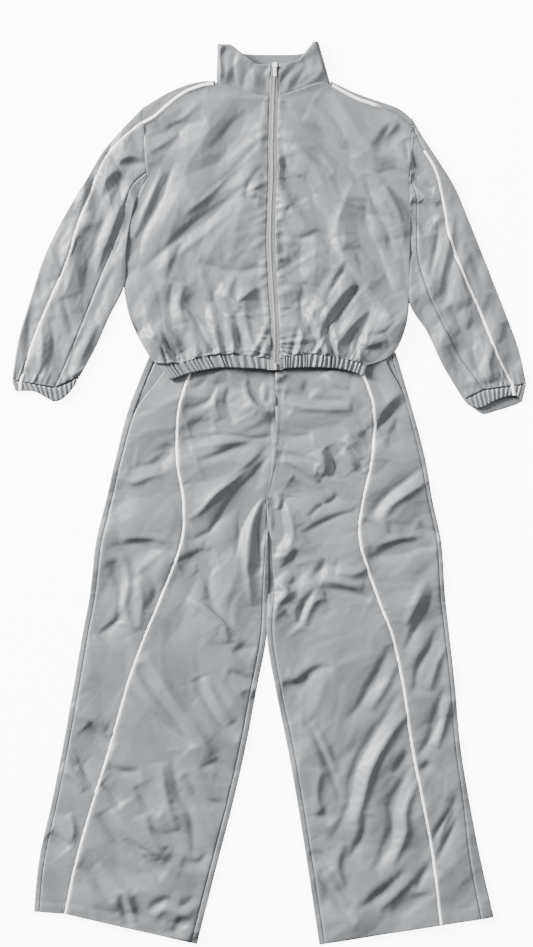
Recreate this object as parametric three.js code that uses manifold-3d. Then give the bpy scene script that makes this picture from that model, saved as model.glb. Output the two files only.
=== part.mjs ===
// A nylon tracksuit laid flat: a zip jacket whose gathered hem lies over the waist of wide trousers.
// Millimetres. +X runs to the right across the laid-out suit, +Y towards the collar and +Z up from
// the surface. "Right" and "left" are the wearer's, so the right sleeve lies at -X.
//
// Every panel is a cloth wall. Its plan comes from a table of sections across a sleeve, the body or
// a leg, and its height from one loft per garment, which the fold tables raise and lower.

import * as THREE from 'three';
import { mergeVertices } from 'three/addons/utils/BufferGeometryUtils.js';
import Module from 'manifold-3d';

const wasm = await Module();
wasm.setup();

// Cloth
const WALL = 1.4; // thickness of a panel
const SEAM = 0.3; // gap between neighbouring pieces
const LOFT = 5; // height of two layers near a folded edge
const CROWN = 3.6; // how much higher the middle of a part lies
const CROWN_REACH = 32; // distance from the edge over which it rises
const LEAST_LOFT = 2 * WALL + 0.9;

// The jacket's hem over the trousers' waistband
const WAIST_HEIGHT = 6.6; // top of the flattened waistband
const LIFT = WAIST_HEIGHT + SEAM;
const LIFT_FROM = 340; // the jacket's back starts to rise here
const LIFT_TO = 288; // and clears the waistband here
const WAIST_TOP = 274;
const WAIST_SEAM = 232;
const WAIST_HALF_TOP = 192;
const WAIST_HALF_SEAM = 204;
const WAIST_CENTRE = 6;

// Collar
const COLLAR_FROM = 698; // the collar starts to rise here
const COLLAR_TO = 742;
const COLLAR_RISE = 7;

// Piping
const PIPING_HALF = 2.2;
const PIPING_PROUD = 1.3; // how far it stands above the cloth

// Zip
const TAPE_HALF = 8;
const TAPE_HALF_AT_RIM = 5.5; // it narrows up the collar
const TAPE_THICK = 1.2;
const TAPE_DROP = 0.3; // below the fronts' surface
const FRONT_EDGE = TAPE_HALF + SEAM;
const SLIDER = { y: 749, length: 11, top: 8.4, bottom: 6, height: 2 };
const PIN = { y: 747.5, rise: 1.9, radius: 0.6 };
const LUG = { width: 1.1, length: 3, height: 3, inside: 3.1 };
const TAB = { width: 5.6, length: 17, thickness: 1.2, eye: 1.5 };
const RETAINER = { y: 223, length: 12, width: 5, height: 3 };

// Gathers, over each front layer
const HEM_PLEATS = 24; // each side of the zip
const HEM_PLEAT_DEPTH = 1.4;
const CUFF_PLEATS = 13;
const CUFF_PLEAT_DEPTH = 1.3;
const STEPS_PER_PLEAT = 2;

// Trouser pieces
const INSEAM_INSET = 10; // the back rolls this far onto the front along the inner leg
const POCKET_DROP = 0.9; // the pocket facing lies this much lower than the side panel
const SIDE_ROLL = 2.6; // radius in plan of a folded edge

// Sections across the right sleeve, from the armhole to the gathered cuff line.
// The folded edges are outer and inner, and the seams on top are piping and underarm.
const RIGHT_SLEEVE = [
  { outer: [-222, 676], piping: [-220.7, 652], underarm: [-215.8, 562], inner: [-215.2, 553.5] },
  { outer: [-257, 640], piping: [-251, 627], underarm: [-238, 543], inner: [-234.5, 533] },
  { outer: [-291, 600], piping: [-286, 589], underarm: [-250, 515], inner: [-242, 505] },
  { outer: [-321, 550], piping: [-309, 535], underarm: [-256, 481], inner: [-246.5, 470] },
  { outer: [-360, 485], piping: [-335, 467], underarm: [-270, 440], inner: [-253.8, 425] },
  { outer: [-394, 415], piping: [-357, 397], underarm: [-296, 380], inner: [-257.6, 365] },
  { outer: [-417, 345], piping: [-387, 330], underarm: [-321, 315], inner: [-279, 312] },
  { outer: [-438, 275], piping: [-414, 262], underarm: [-347, 250], inner: [-303, 258] },
  { outer: [-450.5, 199], piping: [-434.5, 197], underarm: [-375, 187], inner: [-331, 206] },
];

const LEFT_SLEEVE = [
  { outer: [252.5, 655], piping: [251.9, 644], underarm: [247.8, 550], inner: [247.4, 541] },
  { outer: [272, 622], piping: [266, 611], underarm: [256, 533], inner: [249.5, 522] },
  { outer: [299, 581], piping: [290.5, 570], underarm: [260, 503], inner: [250.5, 495] },
  { outer: [327, 535], piping: [304, 520], underarm: [259, 465], inner: [250, 450] },
  { outer: [354, 470], piping: [318, 447], underarm: [261, 415], inner: [249.8, 395] },
  { outer: [386, 390], piping: [343, 378], underarm: [277, 358], inner: [250.5, 335] },
  { outer: [414, 318], piping: [374, 311], underarm: [304, 300], inner: [277, 283] },
  { outer: [437, 256], piping: [401, 240], underarm: [335, 240], inner: [306, 222] },
  { outer: [451, 193], piping: [426.5, 190], underarm: [376, 183], inner: [340, 166] },
];

// Sections across the jacket's body, from the gathered hem line to the shoulder seams.
const BODY = [
  { right: [-196, 228], zip: [9.7, 238], left: [172, 226] },
  { right: [-214, 249], zip: [10.8, 262], left: [217, 246] },
  { right: [-242, 305], zip: [9.6, 310], left: [240, 296] },
  { right: [-253.5, 360], zip: [6, 365], left: [246.3, 355] },
  { right: [-250.5, 425], zip: [2.7, 430], left: [247.8, 420] },
  { right: [-239, 497], zip: [3.4, 497], left: [248.2, 485] },
  { right: [-214.8, 553.5], zip: [5.8, 553], left: [247, 541] },
  { right: [-217.8, 605], zip: [6.2, 625], left: [249.3, 597] },
  { right: [-220.3, 650], zip: [8.2, 697.4], left: [251.3, 642] },
];
const ARMPIT = 6; // the section where the side seam ends and the armhole starts

// Neck seam and forward shoulder seams, from the armhole to the zip
const RIGHT_YOKE_LINE = [
  [-220.3, 650], [-201, 661], [-180, 679], [-160, 695.5], [-140, 707.5], [-112, 716.5],
  [-95, 717.5], [-75, 714.5], [-60, 710.5], [-40, 703.6], [-20, 699], [0, 697.4],
];
const LEFT_YOKE_LINE = [
  [16, 697.4], [35, 702.4], [60, 711], [75, 717], [96, 720.5], [112, 715],
  [150, 694.5], [180, 683.5], [210, 672.5], [230, 662.5], [251.3, 642],
];
// Folded shoulder edges, and the back's neck seam between them
const RIGHT_SHOULDER = [[-221.7, 676], [-200, 690], [-175, 704.5], [-145, 716.5], [-118, 722.6], [-94, 723.6]];
const LEFT_SHOULDER = [[108, 723.5], [120, 717.5], [150, 703.5], [180, 692.5], [210, 682.5], [230, 674], [252.2, 655]];
const BACK_NECK = [[-90, 715], [-45, 712.2], [10, 709.8], [60, 712.2], [103, 716]];

// Collar strip from the zip round the back to the zip: seam point, rim point, and turn of the
// cloth's face, 90 up in front, 180 sideways at a folded end, 270 down at the back.
const COLLAR = [
  { seam: [-0.6, 697.8], rim: [3.8, 752], turn: 90 },
  { seam: [-20, 699.3], rim: [-20, 752], turn: 90 },
  { seam: [-40, 703.9], rim: [-36, 763], turn: 90 },
  { seam: [-60, 710.8], rim: [-52, 775], turn: 90 },
  { seam: [-75, 714.8], rim: [-66, 785.5], turn: 90 },
  { seam: [-84, 717.8], rim: [-81, 786.5], turn: 90 },
  { seam: [-89.5, 722], rim: [-87.5, 787.5], turn: 135 },
  { seam: [-92, 724.2], rim: [-90, 787], turn: 180 },
  { seam: [-89.5, 724.2], rim: [-87.5, 786], turn: 225 },
  { seam: [-84, 719], rim: [-81, 784], turn: 270 },
  { seam: [-45, 713], rim: [-45, 772], turn: 270 },
  { seam: [10, 710.4], rim: [8, 770], turn: 270 },
  { seam: [60, 713], rim: [58, 772], turn: 270 },
  { seam: [98, 719], rim: [76, 786], turn: 270 },
  { seam: [103.5, 724.2], rim: [83, 790], turn: 225 },
  { seam: [106, 724.4], rim: [87, 790.5], turn: 180 },
  { seam: [103.5, 722.4], rim: [83, 791.5], turn: 135 },
  { seam: [96, 721], rim: [77, 790], turn: 90 },
  { seam: [75, 717.3], rim: [64, 774], turn: 90 },
  { seam: [60, 711.3], rim: [52, 760], turn: 90 },
  { seam: [35, 702.7], rim: [33, 755.5], turn: 90 },
  { seam: [16.8, 697.8], rim: [16.2, 753], turn: 90 },
];
const COLLAR_ROWS = 5;

// Hem band: gather lines and free edges, the fronts' outwards from the zip
const RIGHT_HEM = {
  gather: [[1.4, 237.7], [-20, 239.7], [-60, 244.7], [-110, 240.7], [-150, 231.5], [-178, 226], [-190, 226.5]],
  edge: [[2.4, 217], [-20, 219], [-80, 221], [-110, 217], [-140, 211], [-160, 203.5], [-172, 200]],
};
const BACK_HEM = [
  [-190, 226.5], [-178, 226], [-150, 231.5], [-110, 240.7], [-60, 244.7], [60, 244.7], [100, 242.7],
  [140, 235], [160, 229.5], [169, 225.4],
];
const LEFT_HEM = {
  gather: [[18, 237.7], [60, 244.7], [100, 242.7], [140, 235], [160, 229.5], [169, 225.4]],
  edge: [[19, 217], [35, 220], [80, 221.5], [120, 219.5], [145, 214], [163, 206.5]],
};

// Sections across the trouser legs, from the waist seam to the hem
const CROTCH = 3; // the section where the centre seam ends and the inner leg starts
const RIGHT_LEG = [
  { outer: [-214, 231], outseam: [-202, 231], piping: [-131, 231], inner: [9.3, 231] },
  { outer: [-246, 150], outseam: [-234, 150], piping: [-157, 150], inner: [11.5, 150] },
  { outer: [-269, 62], outseam: [-258, 64], piping: [-160, 60], inner: [8.5, 60] },
  { outer: [-285, -8], outseam: [-275, -8], piping: [-149, -15], inner: [-4.7, -10] },
  { outer: [-303.5, -85], outseam: [-293.5, -85], piping: [-153, -85], inner: [-13.5, -75] },
  { outer: [-314, -175], outseam: [-304, -175], piping: [-188, -180], inner: [-5, -165] },
  { outer: [-327, -245], outseam: [-317, -245], piping: [-219, -255], inner: [-8, -250] },
  { outer: [-343, -340], outseam: [-333, -340], piping: [-250, -345], inner: [-22, -345] },
  { outer: [-361, -440], outseam: [-351, -440], piping: [-278, -445], inner: [-41, -445] },
  { outer: [-381, -540], outseam: [-371, -540], piping: [-309, -545], inner: [-65, -550] },
  { outer: [-403, -640], outseam: [-393, -640], piping: [-337, -645], inner: [-91, -650] },
  { outer: [-412, -731], outseam: [-402, -732], piping: [-356, -735.5], inner: [-126, -788.5] },
];
const LEFT_LEG = [
  { outer: [227, 231], outseam: [219, 231], piping: [156, 231], inner: [9.6, 231] },
  { outer: [251, 150], outseam: [243, 150], piping: [184, 150], inner: [11.8, 150] },
  { outer: [274, 62], outseam: [266, 62], piping: [181, 60], inner: [8.8, 60] },
  { outer: [286, -8], outseam: [279, -8], piping: [165, -15], inner: [-4.4, -10] },
  { outer: [302, -85], outseam: [295, -85], piping: [160.5, -85], inner: [13, -75] },
  { outer: [308.5, -175], outseam: [301, -175], piping: [190, -178], inner: [1, -165] },
  { outer: [316, -245], outseam: [308.5, -245], piping: [217, -250], inner: [-1, -250] },
  { outer: [326.5, -340], outseam: [319, -340], piping: [236.5, -340], inner: [12, -345] },
  { outer: [335.5, -440], outseam: [327, -440], piping: [251, -440], inner: [32.5, -445] },
  { outer: [351.5, -540], outseam: [341, -540], piping: [270.5, -540], inner: [51, -550] },
  { outer: [371, -640], outseam: [352.5, -640], piping: [288.5, -640], inner: [67, -650] },
  { outer: [394, -741], outseam: [372, -745], piping: [302, -755.5], inner: [88, -790] },
];
// How far the side panel's pocket mouth stands in from the outseam, down from the waist seam
const RIGHT_POCKET = { top: 25, foot: 131 };
const LEFT_POCKET = { top: 11, foot: 172 };

// Main folds. Each runs from start over bend to end; height is negative for a trough.
const JACKET_FOLDS = [
  { start: [-160, 590], bend: [-195, 500], end: [-246, 405], width: 15, height: -3.8 },
  { start: [-184, 570], bend: [-212, 510], end: [-236, 445], width: 13, height: 4.5 },
  { start: [-5, 630], bend: [-60, 580], end: [-125, 512], width: 15, height: -3 },
  { start: [-30, 600], bend: [-85, 545], end: [-150, 490], width: 14, height: 3.5 },
  { start: [-38, 545], bend: [-110, 480], end: [-225, 390], width: 14, height: -3.4 },
  { start: [-50, 500], bend: [-130, 440], end: [-200, 385], width: 16, height: 3.5 },
  { start: [-215, 622], bend: [-180, 634], end: [-120, 655], width: 13, height: -2.6 },
  { start: [-125, 405], bend: [-60, 388], end: [0, 402], width: 13, height: -2.4 },
  { start: [-75, 390], bend: [-100, 345], end: [-58, 300], width: 16, height: -2.8 },
  { start: [-150, 340], bend: [-112, 300], end: [-98, 246], width: 14, height: -3.2 },
  { start: [-172, 330], bend: [-140, 285], end: [-135, 250], width: 14, height: 3 },
  { start: [-232, 300], bend: [-190, 268], end: [-140, 247], width: 12, height: -3 },
  { start: [-38, 330], bend: [-35, 290], end: [-24, 250], width: 13, height: 3 },
  { start: [140, 535], bend: [124, 470], end: [130, 420], width: 16, height: -3.4 },
  { start: [130, 415], bend: [170, 370], end: [214, 308], width: 13, height: 5 },
  { start: [186, 500], bend: [200, 430], end: [222, 360], width: 17, height: -3.4 },
  { start: [160, 520], bend: [165, 450], end: [185, 390], width: 14, height: 3 },
  { start: [183, 600], bend: [205, 632], end: [232, 655], width: 14, height: -3 },
  { start: [40, 443], bend: [75, 457], end: [108, 451], width: 12, height: -2 },
  { start: [13, 383], bend: [60, 370], end: [98, 332], width: 13, height: 3.4 },
  { start: [62, 372], bend: [60, 320], end: [68, 275], width: 17, height: -2.8 },
  { start: [168, 368], bend: [122, 325], end: [98, 258], width: 13, height: -3.8 },
  { start: [150, 370], bend: [104, 330], end: [84, 262], width: 11, height: 3.6 },
  { start: [176, 322], bend: [145, 295], end: [114, 256], width: 11, height: 3 },
  { start: [172, 280], bend: [200, 280], end: [226, 305], width: 12, height: -2.6 },
  { start: [-252, 560], bend: [-290, 480], end: [-335, 330], width: 16, height: -3.6 },
  { start: [-232, 560], bend: [-275, 480], end: [-318, 350], width: 14, height: 4 },
  { start: [-360, 345], bend: [-350, 310], end: [-345, 270], width: 13, height: -2.4 },
  { start: [-385, 435], bend: [-372, 405], end: [-365, 380], width: 13, height: 2.6 },
  { start: [-400, 300], bend: [-395, 250], end: [-405, 205], width: 13, height: 2.6 },
  { start: [248, 560], bend: [275, 535], end: [292, 532], width: 11, height: -2.6 },
  { start: [330, 500], bend: [318, 430], end: [300, 330], width: 15, height: 3.4 },
  { start: [300, 480], bend: [290, 420], end: [282, 380], width: 13, height: -3 },
  { start: [360, 330], bend: [350, 270], end: [372, 205], width: 14, height: -2.8 },
  { start: [392, 262], bend: [385, 220], end: [392, 190], width: 12, height: 2.8 },
];

const TROUSER_FOLDS = [
  { start: [-150, 148], bend: [-100, 158], end: [-80, 200], width: 12, height: -3.2 },
  { start: [-42, 205], bend: [-38, 155], end: [6, 140], width: 12, height: 4.2 },
  { start: [-66, 195], bend: [-74, 160], end: [-58, 126], width: 13, height: -2.6 },
  { start: [-155, 95], bend: [-80, 98], end: [8, 106], width: 11, height: -2.4 },
  { start: [-125, 55], bend: [-60, 84], end: [6, 102], width: 13, height: -2.6 },
  { start: [-150, -84], bend: [-84, -40], end: [4, 72], width: 15, height: -4 },
  { start: [-146, -45], bend: [-88, -2], end: [-10, 76], width: 13, height: 4.4 },
  { start: [-50, -8], bend: [-48, -60], end: [-50, -118], width: 12, height: 3.4 },
  { start: [-172, 90], bend: [-190, 54], end: [-246, 42], width: 12, height: -3.4 },
  { start: [-262, 36], bend: [-240, 22], end: [-205, 34], width: 14, height: 2.6 },
  { start: [-160, -100], bend: [-220, -92], end: [-290, -98], width: 14, height: -2.8 },
  { start: [-256, -105], bend: [-250, -170], end: [-240, -235], width: 13, height: 3.2 },
  { start: [-222, -130], bend: [-206, -170], end: [-214, -212], width: 14, height: -3 },
  { start: [-248, -205], bend: [-275, -228], end: [-298, -248], width: 12, height: -2.6 },
  { start: [-125, -120], bend: [-108, -180], end: [-66, -224], width: 14, height: -3.4 },
  { start: [-145, -180], bend: [-92, -212], end: [-74, -262], width: 13, height: 3.4 },
  { start: [-216, -278], bend: [-180, -350], end: [-102, -456], width: 13, height: 4 },
  { start: [-228, -312], bend: [-188, -376], end: [-118, -464], width: 12, height: -3 },
  { start: [-248, -352], bend: [-205, -400], end: [-140, -446], width: 13, height: -2.8 },
  { start: [-130, -322], bend: [-104, -378], end: [-54, -430], width: 13, height: -3.2 },
  { start: [-345, -366], bend: [-320, -398], end: [-280, -412], width: 12, height: 3 },
  { start: [-338, -474], bend: [-322, -498], end: [-300, -522], width: 12, height: -3.2 },
  { start: [-298, -560], bend: [-262, -618], end: [-184, -668], width: 14, height: -4 },
  { start: [-276, -556], bend: [-240, -600], end: [-175, -640], width: 14, height: 3.2 },
  { start: [-150, -476], bend: [-122, -530], end: [-76, -542], width: 13, height: -3 },
  { start: [-170, -450], bend: [-142, -550], end: [-130, -640], width: 15, height: -2.8 },
  { start: [-335, -652], bend: [-300, -680], end: [-272, -716], width: 13, height: -3 },
  { start: [-212, -733], bend: [-180, -700], end: [-118, -696], width: 12, height: -3.2 },
  { start: [28, 178], bend: [80, 160], end: [150, 163], width: 12, height: -3.4 },
  { start: [18, 160], bend: [60, 142], end: [140, 145], width: 14, height: 2.8 },
  { start: [104, 84], bend: [112, 55], end: [108, 26], width: 12, height: -3.4 },
  { start: [22, 62], bend: [60, 44], end: [98, 20], width: 12, height: 3 },
  { start: [38, 26], bend: [74, 6], end: [98, -18], width: 12, height: -3 },
  { start: [40, 18], bend: [46, -45], end: [46, -98], width: 12, height: 4.6 },
  { start: [58, -70], bend: [104, -42], end: [158, -28], width: 14, height: -3 },
  { start: [48, -230], bend: [58, -176], end: [84, -164], width: 12, height: -4 },
  { start: [84, -166], bend: [130, -172], end: [178, -182], width: 13, height: -2.8 },
  { start: [10, -150], bend: [36, -150], end: [30, -186], width: 11, height: 3.6 },
  { start: [42, -334], bend: [68, -322], end: [108, -302], width: 12, height: -2.8 },
  { start: [212, -264], bend: [176, -335], end: [138, -398], width: 15, height: -2.8 },
  { start: [232, -345], bend: [168, -440], end: [140, -545], width: 14, height: -4.2 },
  { start: [142, -540], bend: [132, -580], end: [106, -614], width: 13, height: -3.4 },
  { start: [238, -385], bend: [186, -470], end: [164, -560], width: 14, height: 3.8 },
  { start: [60, -405], bend: [92, -450], end: [126, -542], width: 13, height: -2.8 },
  { start: [250, -476], bend: [216, -530], end: [214, -590], width: 14, height: -3.8 },
  { start: [214, -588], bend: [204, -634], end: [180, -660], width: 12, height: -3.2 },
  { start: [246, -560], bend: [232, -620], end: [200, -664], width: 13, height: 3.2 },
  { start: [240, -660], bend: [206, -692], end: [152, -730], width: 12, height: -3 },
  { start: [84, -664], bend: [112, -706], end: [150, -750], width: 11, height: -2.8 },
  { start: [72, -630], bend: [100, -630], end: [110, -656], width: 11, height: -2.6 },
  { start: [188, 114], bend: [208, 132], end: [243, 162], width: 12, height: -3 },
  { start: [180, -42], bend: [208, 2], end: [275, 50], width: 13, height: -3.8 },
  { start: [196, -52], bend: [232, -8], end: [282, 24], width: 13, height: 3.2 },
  { start: [174, -116], bend: [214, -98], end: [296, -92], width: 14, height: -3.6 },
  { start: [292, -160], bend: [258, -225], end: [240, -276], width: 13, height: -3.2 },
  { start: [302, -228], bend: [266, -290], end: [254, -352], width: 13, height: -3 },
  { start: [310, -334], bend: [292, -410], end: [257, -464], width: 13, height: -3.8 },
  { start: [330, -530], bend: [306, -570], end: [287, -608], width: 11, height: -2.8 },
];

// Rows and columns of the panels
const ROWS = { sleeve: 16, body: 19, leg: 22 };
const SLEEVE_COLUMNS = 7;
const LEG_FRONT_COLUMNS = 10;
const LEG_SIDE_COLUMNS = 5;
const BACK_COLUMNS = 2;

// Plain vector helpers in the plan
const mix = (a, b, t) => a + (b - a) * t;
const mixPoint = (a, b, t) => [mix(a[0], b[0], t), mix(a[1], b[1], t)];
const distance = (a, b) => Math.hypot(b[0] - a[0], b[1] - a[1]);
const shift = (p, direction, length) => [p[0] + direction[0] * length, p[1] + direction[1] * length];
function heading(from, to) {
  const length = distance(from, to);
  return [(to[0] - from[0]) / length, (to[1] - from[1]) / length];
}
const smooth = (t) => {
  const clamped = Math.min(1, Math.max(0, t));
  return clamped * clamped * (3 - 2 * clamped);
};

// count + 1 points evenly along the spline through some of a table's points, by the point's order.
function stations(points, count) {
  const curve = new THREE.SplineCurve(points.map(([x, y]) => new THREE.Vector2(x, y)));
  return Array.from({ length: count + 1 }, (_, k) => {
    const p = curve.getPoint(k / count);
    return [p.x, p.y];
  });
}

// One edge of a table of sections as rows + 1 points, with a sharp corner at section `corner`.
function edgeRows(sections, name, rows, corner = 0) {
  const points = sections.map((section) => section[name]);
  const last = points.length - 1;
  const before = Math.round((rows * corner) / last);
  const tail = stations(points.slice(corner), rows - before);
  return corner === 0 ? tail : [...stations(points.slice(0, corner + 1), before).slice(0, -1), ...tail];
}

// The line's y at x, for a line whose x rises or falls all along it.
function heightOfLine(points, x) {
  const line = stations(points, points.length * 8);
  const rising = line[0][0] < line[line.length - 1][0];
  const ordered = rising ? line : [...line].reverse();
  const next = Math.max(1, ordered.findIndex((p) => p[0] >= x));
  const at = ordered.some((p) => p[0] >= x) ? next : ordered.length - 1;
  const [a, b] = [ordered[at - 1], ordered[at]];
  return mix(a[1], b[1], Math.min(1, Math.max(0, (x - a[0]) / (b[0] - a[0]))));
}

function distanceToLine(point, line) {
  let least = { distance: Infinity, along: 0 };
  for (let k = 0; k + 1 < line.length; k += 1) {
    const [ax, ay] = line[k];
    const [dx, dy] = [line[k + 1][0] - ax, line[k + 1][1] - ay];
    const t = Math.min(1, Math.max(0, ((point[0] - ax) * dx + (point[1] - ay) * dy) / (dx * dx + dy * dy)));
    const d = Math.hypot(point[0] - ax - t * dx, point[1] - ay - t * dy);
    if (d < least.distance) least = { distance: d, along: (k + t) / (line.length - 1) };
  }
  return least;
}

// Height that a table of folds adds at a point: a soft ridge or trough, fading out at its ends.
function foldHeight(folds, point) {
  let height = 0;
  for (const fold of folds) {
    const { distance: away, along } = distanceToLine(point, fold.line);
    const fade = Math.sqrt(Math.max(0, Math.sin(Math.PI * along)));
    height += fold.height * fade * Math.exp(-((away / fold.width) ** 2));
  }
  return height;
}

const FOLD_STEPS = 8;
function withLines(folds) {
  return folds.map((fold) => {
    const ends = [fold.start, fold.bend, fold.end].map(([x, y]) => new THREE.Vector2(x, y));
    const curve = new THREE.QuadraticBezierCurve(...ends);
    return { ...fold, line: curve.getPoints(FOLD_STEPS).map((p) => [p.x, p.y]) };
  });
}

// A garment's loft: the underside and top of its two layers at a point of the plan.
function garment(folds, edges, under, rise) {
  const lines = withLines(folds);
  return {
    under: (p) => under(p),
    top: (p) => {
      const inside = Math.min(...edges.map((edge) => distanceToLine(p, edge).distance));
      const crown = CROWN * (1 - Math.exp(-inside / CROWN_REACH));
      const loft = Math.max(LEAST_LOFT, LOFT + crown + foldHeight(lines, p));
      return under(p) + loft + rise(p);
    },
  };
}

const outline = (sections, name) => sections.map((section) => section[name]);
const sideSeam = (name) => BODY.slice(0, ARMPIT + 1).map((section) => section[name]);
const jacket = garment(
  JACKET_FOLDS,
  [
    outline(RIGHT_SLEEVE, 'outer'), outline(RIGHT_SLEEVE, 'inner'), RIGHT_SHOULDER, sideSeam('right'),
    outline(LEFT_SLEEVE, 'outer'), outline(LEFT_SLEEVE, 'inner'), LEFT_SHOULDER, sideSeam('left'),
  ],
  ([, y]) => LIFT * smooth((LIFT_FROM - y) / (LIFT_FROM - LIFT_TO)),
  ([, y]) => COLLAR_RISE * smooth((y - COLLAR_FROM) / (COLLAR_TO - COLLAR_FROM)),
);
// A sleeve lies on the surface all the way down.
const sleeve = {
  under: () => 0,
  top: (p) => jacket.top(p) - jacket.under(p),
};
const trousers = garment(
  TROUSER_FOLDS,
  [
    outline(RIGHT_LEG, 'outer'), outline(RIGHT_LEG, 'inner').slice(CROTCH),
    outline(LEFT_LEG, 'outer'), outline(LEFT_LEG, 'inner').slice(CROTCH),
  ],
  () => 0,
  () => 0,
);
// Near the waist seam the cloth is pressed down by the jacket's hem.
const PRESSED_FROM = 150;
const PRESSED_TO = 206;
const PRESSED_LOFT = 5.1;
const leg = {
  under: () => 0,
  top: (p) => mix(trousers.top(p), PRESSED_LOFT, smooth((p[1] - PRESSED_FROM) / (PRESSED_TO - PRESSED_FROM))),
};

// A closed wall between two grids of points, over the cells that `keep` keeps. With `ring` the
// last column joins the first.
function wall(name, { outer, inner }, { keep = () => true, ring = false } = {}) {
  const rows = outer.length - 1;
  const width = outer[0].length;
  const columns = ring ? width : width - 1;
  const inRange = (j, i) => j >= 0 && j < rows && (ring || (i >= 0 && i < columns));
  const kept = (j, i) => inRange(j, i) && keep(j, (i + columns) % columns);
  const layer = outer.length * width;
  const vertex = (j, i) => j * width + (i % width);
  const faces = [];
  const quad = (a, b, c, d) => faces.push([a, b, c], [a, c, d]);
  for (let j = 0; j < rows; j += 1) {
    for (let i = 0; i < columns; i += 1) {
      if (!kept(j, i)) continue;
      const [a, b, c, d] = [vertex(j, i), vertex(j, i + 1), vertex(j + 1, i + 1), vertex(j + 1, i)];
      quad(a, b, c, d);
      quad(d + layer, c + layer, b + layer, a + layer);
      if (!kept(j - 1, i)) quad(b, a, a + layer, b + layer);
      if (!kept(j + 1, i)) quad(d, c, c + layer, d + layer);
      if (!kept(j, i - 1)) quad(a, d, d + layer, a + layer);
      if (!kept(j, i + 1)) quad(c, b, b + layer, c + layer);
    }
  }
  return solid(name, [...outer.flat(), ...inner.flat()], faces);
}

const MATERIALS = {
  cloth: new THREE.MeshStandardMaterial({ color: 0xa7a8ab, roughness: 0.55, metalness: 0 }),
  piping: new THREE.MeshStandardMaterial({ color: 0xf4f4f4, roughness: 0.5, metalness: 0 }),
  tape: new THREE.MeshStandardMaterial({ color: 0xa0a1a4, roughness: 0.7, metalness: 0 }),
  hardware: new THREE.MeshStandardMaterial({ color: 0xefefef, roughness: 0.35, metalness: 0 }),
};
const finishOf = (name) => {
  if (name.startsWith('piping')) return MATERIALS.piping;
  if (name.startsWith('zip_tape')) return MATERIALS.tape;
  return name.startsWith('zip') ? MATERIALS.hardware : MATERIALS.cloth;
};

const suit = new THREE.Group();

function add(name, geometry) {
  const mesh = new THREE.Mesh(geometry, finishOf(name).clone());
  mesh.name = name;
  suit.add(mesh);
  return mesh;
}

// A mesh from points and triangles, turned so that its faces point out.
function solid(name, points, faces) {
  let volume = 0;
  for (const [a, b, c] of faces) {
    const [p, q, r] = [points[a], points[b], points[c]];
    volume += p[0] * (q[1] * r[2] - q[2] * r[1]);
    volume += p[1] * (q[2] * r[0] - q[0] * r[2]);
    volume += p[2] * (q[0] * r[1] - q[1] * r[0]);
  }
  const geometry = new THREE.BufferGeometry();
  geometry.setAttribute('position', new THREE.Float32BufferAttribute(points.flat(), 3));
  geometry.setIndex((volume < 0 ? faces.map(([a, b, c]) => [a, c, b]) : faces).flat());
  geometry.computeVertexNormals();
  return add(name, geometry);
}

// One row of a wall as pairs of outer and inner points.
class Row {
  constructor(cloth) {
    this.cloth = cloth;
    this.outer = [];
    this.inner = [];
  }

  top(p, drop = 0) {
    const z = this.cloth.top(p) - drop;
    this.outer.push([...p, z]);
    this.inner.push([...p, z - WALL]);
  }

  under(p) {
    const z = this.cloth.under(p);
    this.outer.push([...p, z]);
    this.inner.push([...p, z + WALL]);
  }

  // A point of the folded edge at `rim`. `turn` is 90 where the cloth faces up, 180 sideways and
  // 270 down. `fold` is 1 for a folded edge and 0 for a flat one on the layer that `turn` names.
  edge(rim, inwards, turn, fold = 1, gap = 0) {
    const angle = THREE.MathUtils.degToRad(turn);
    const base = shift(rim, inwards, SIDE_ROLL);
    const [low, high] = [this.cloth.under(base), this.cloth.top(base)];
    const half = (high - low) / 2;
    const facesUp = turn < 180 || (turn === 180 && gap > 0);
    const level = (depth) => (low + high) / 2 + (half - depth) * Math.sin(angle) + gap;
    const away = SIDE_ROLL * (1 + Math.cos(angle));
    const p = shift(rim, inwards, away);
    const flat = facesUp ? this.cloth.top(p) : this.cloth.under(p);
    const flatInner = facesUp ? flat - WALL : flat + WALL;
    const awayInner = mix(away, SIDE_ROLL + (SIDE_ROLL - WALL) * Math.cos(angle), fold);
    this.outer.push([...p, mix(flat, level(0), fold)]);
    this.inner.push([...shift(rim, inwards, awayInner), mix(flatInner, level(WALL), fold)]);
  }
}

const ROLL_TURNS = [135, 180, 225];

// The yoke line's y at x, with half the piping and a gap above (1) or below (-1) it along the
// shoulders, where the line is piped. The neck seam between them has no piping.
const YOKE_GAP = 0.5;
const PIPED_RIGHT = -94;
const PIPED_LEFT = 108;
function yokeHeight(line, x, side) {
  const y = heightOfLine(line, x);
  if (x > PIPED_RIGHT && x < PIPED_LEFT) return y;
  const slope = heightOfLine(line, x + 1) - heightOfLine(line, x - 1);
  return y + side * (PIPING_HALF + YOKE_GAP) * Math.hypot(1, slope / 2);
}

// Columns along the yoke lines, shared by the fronts, the back and the piping between them.
const SHOULDER_COLUMNS = 6;
const SHOULDER_TOP = BODY[BODY.length - 1];
const between = (from, to, count) => Array.from({ length: count + 1 }, (_, k) => mix(from, to, k / count));
const RIGHT_YOKE_X = between(SHOULDER_TOP.right[0] + SIDE_ROLL, PIPED_RIGHT, SHOULDER_COLUMNS);
const LEFT_YOKE_X = between(SHOULDER_TOP.left[0] - SIDE_ROLL, PIPED_LEFT, SHOULDER_COLUMNS);
// The fronts' further columns along the neck seam, the first where the piping ends
const RIGHT_NECK_X = [-91.5, -75, -60, -40, -20, SHOULDER_TOP.zip[0] - FRONT_EDGE];
const LEFT_NECK_X = [104.5, 96, 75, 60, 35, SHOULDER_TOP.zip[0] + FRONT_EDGE];

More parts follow.
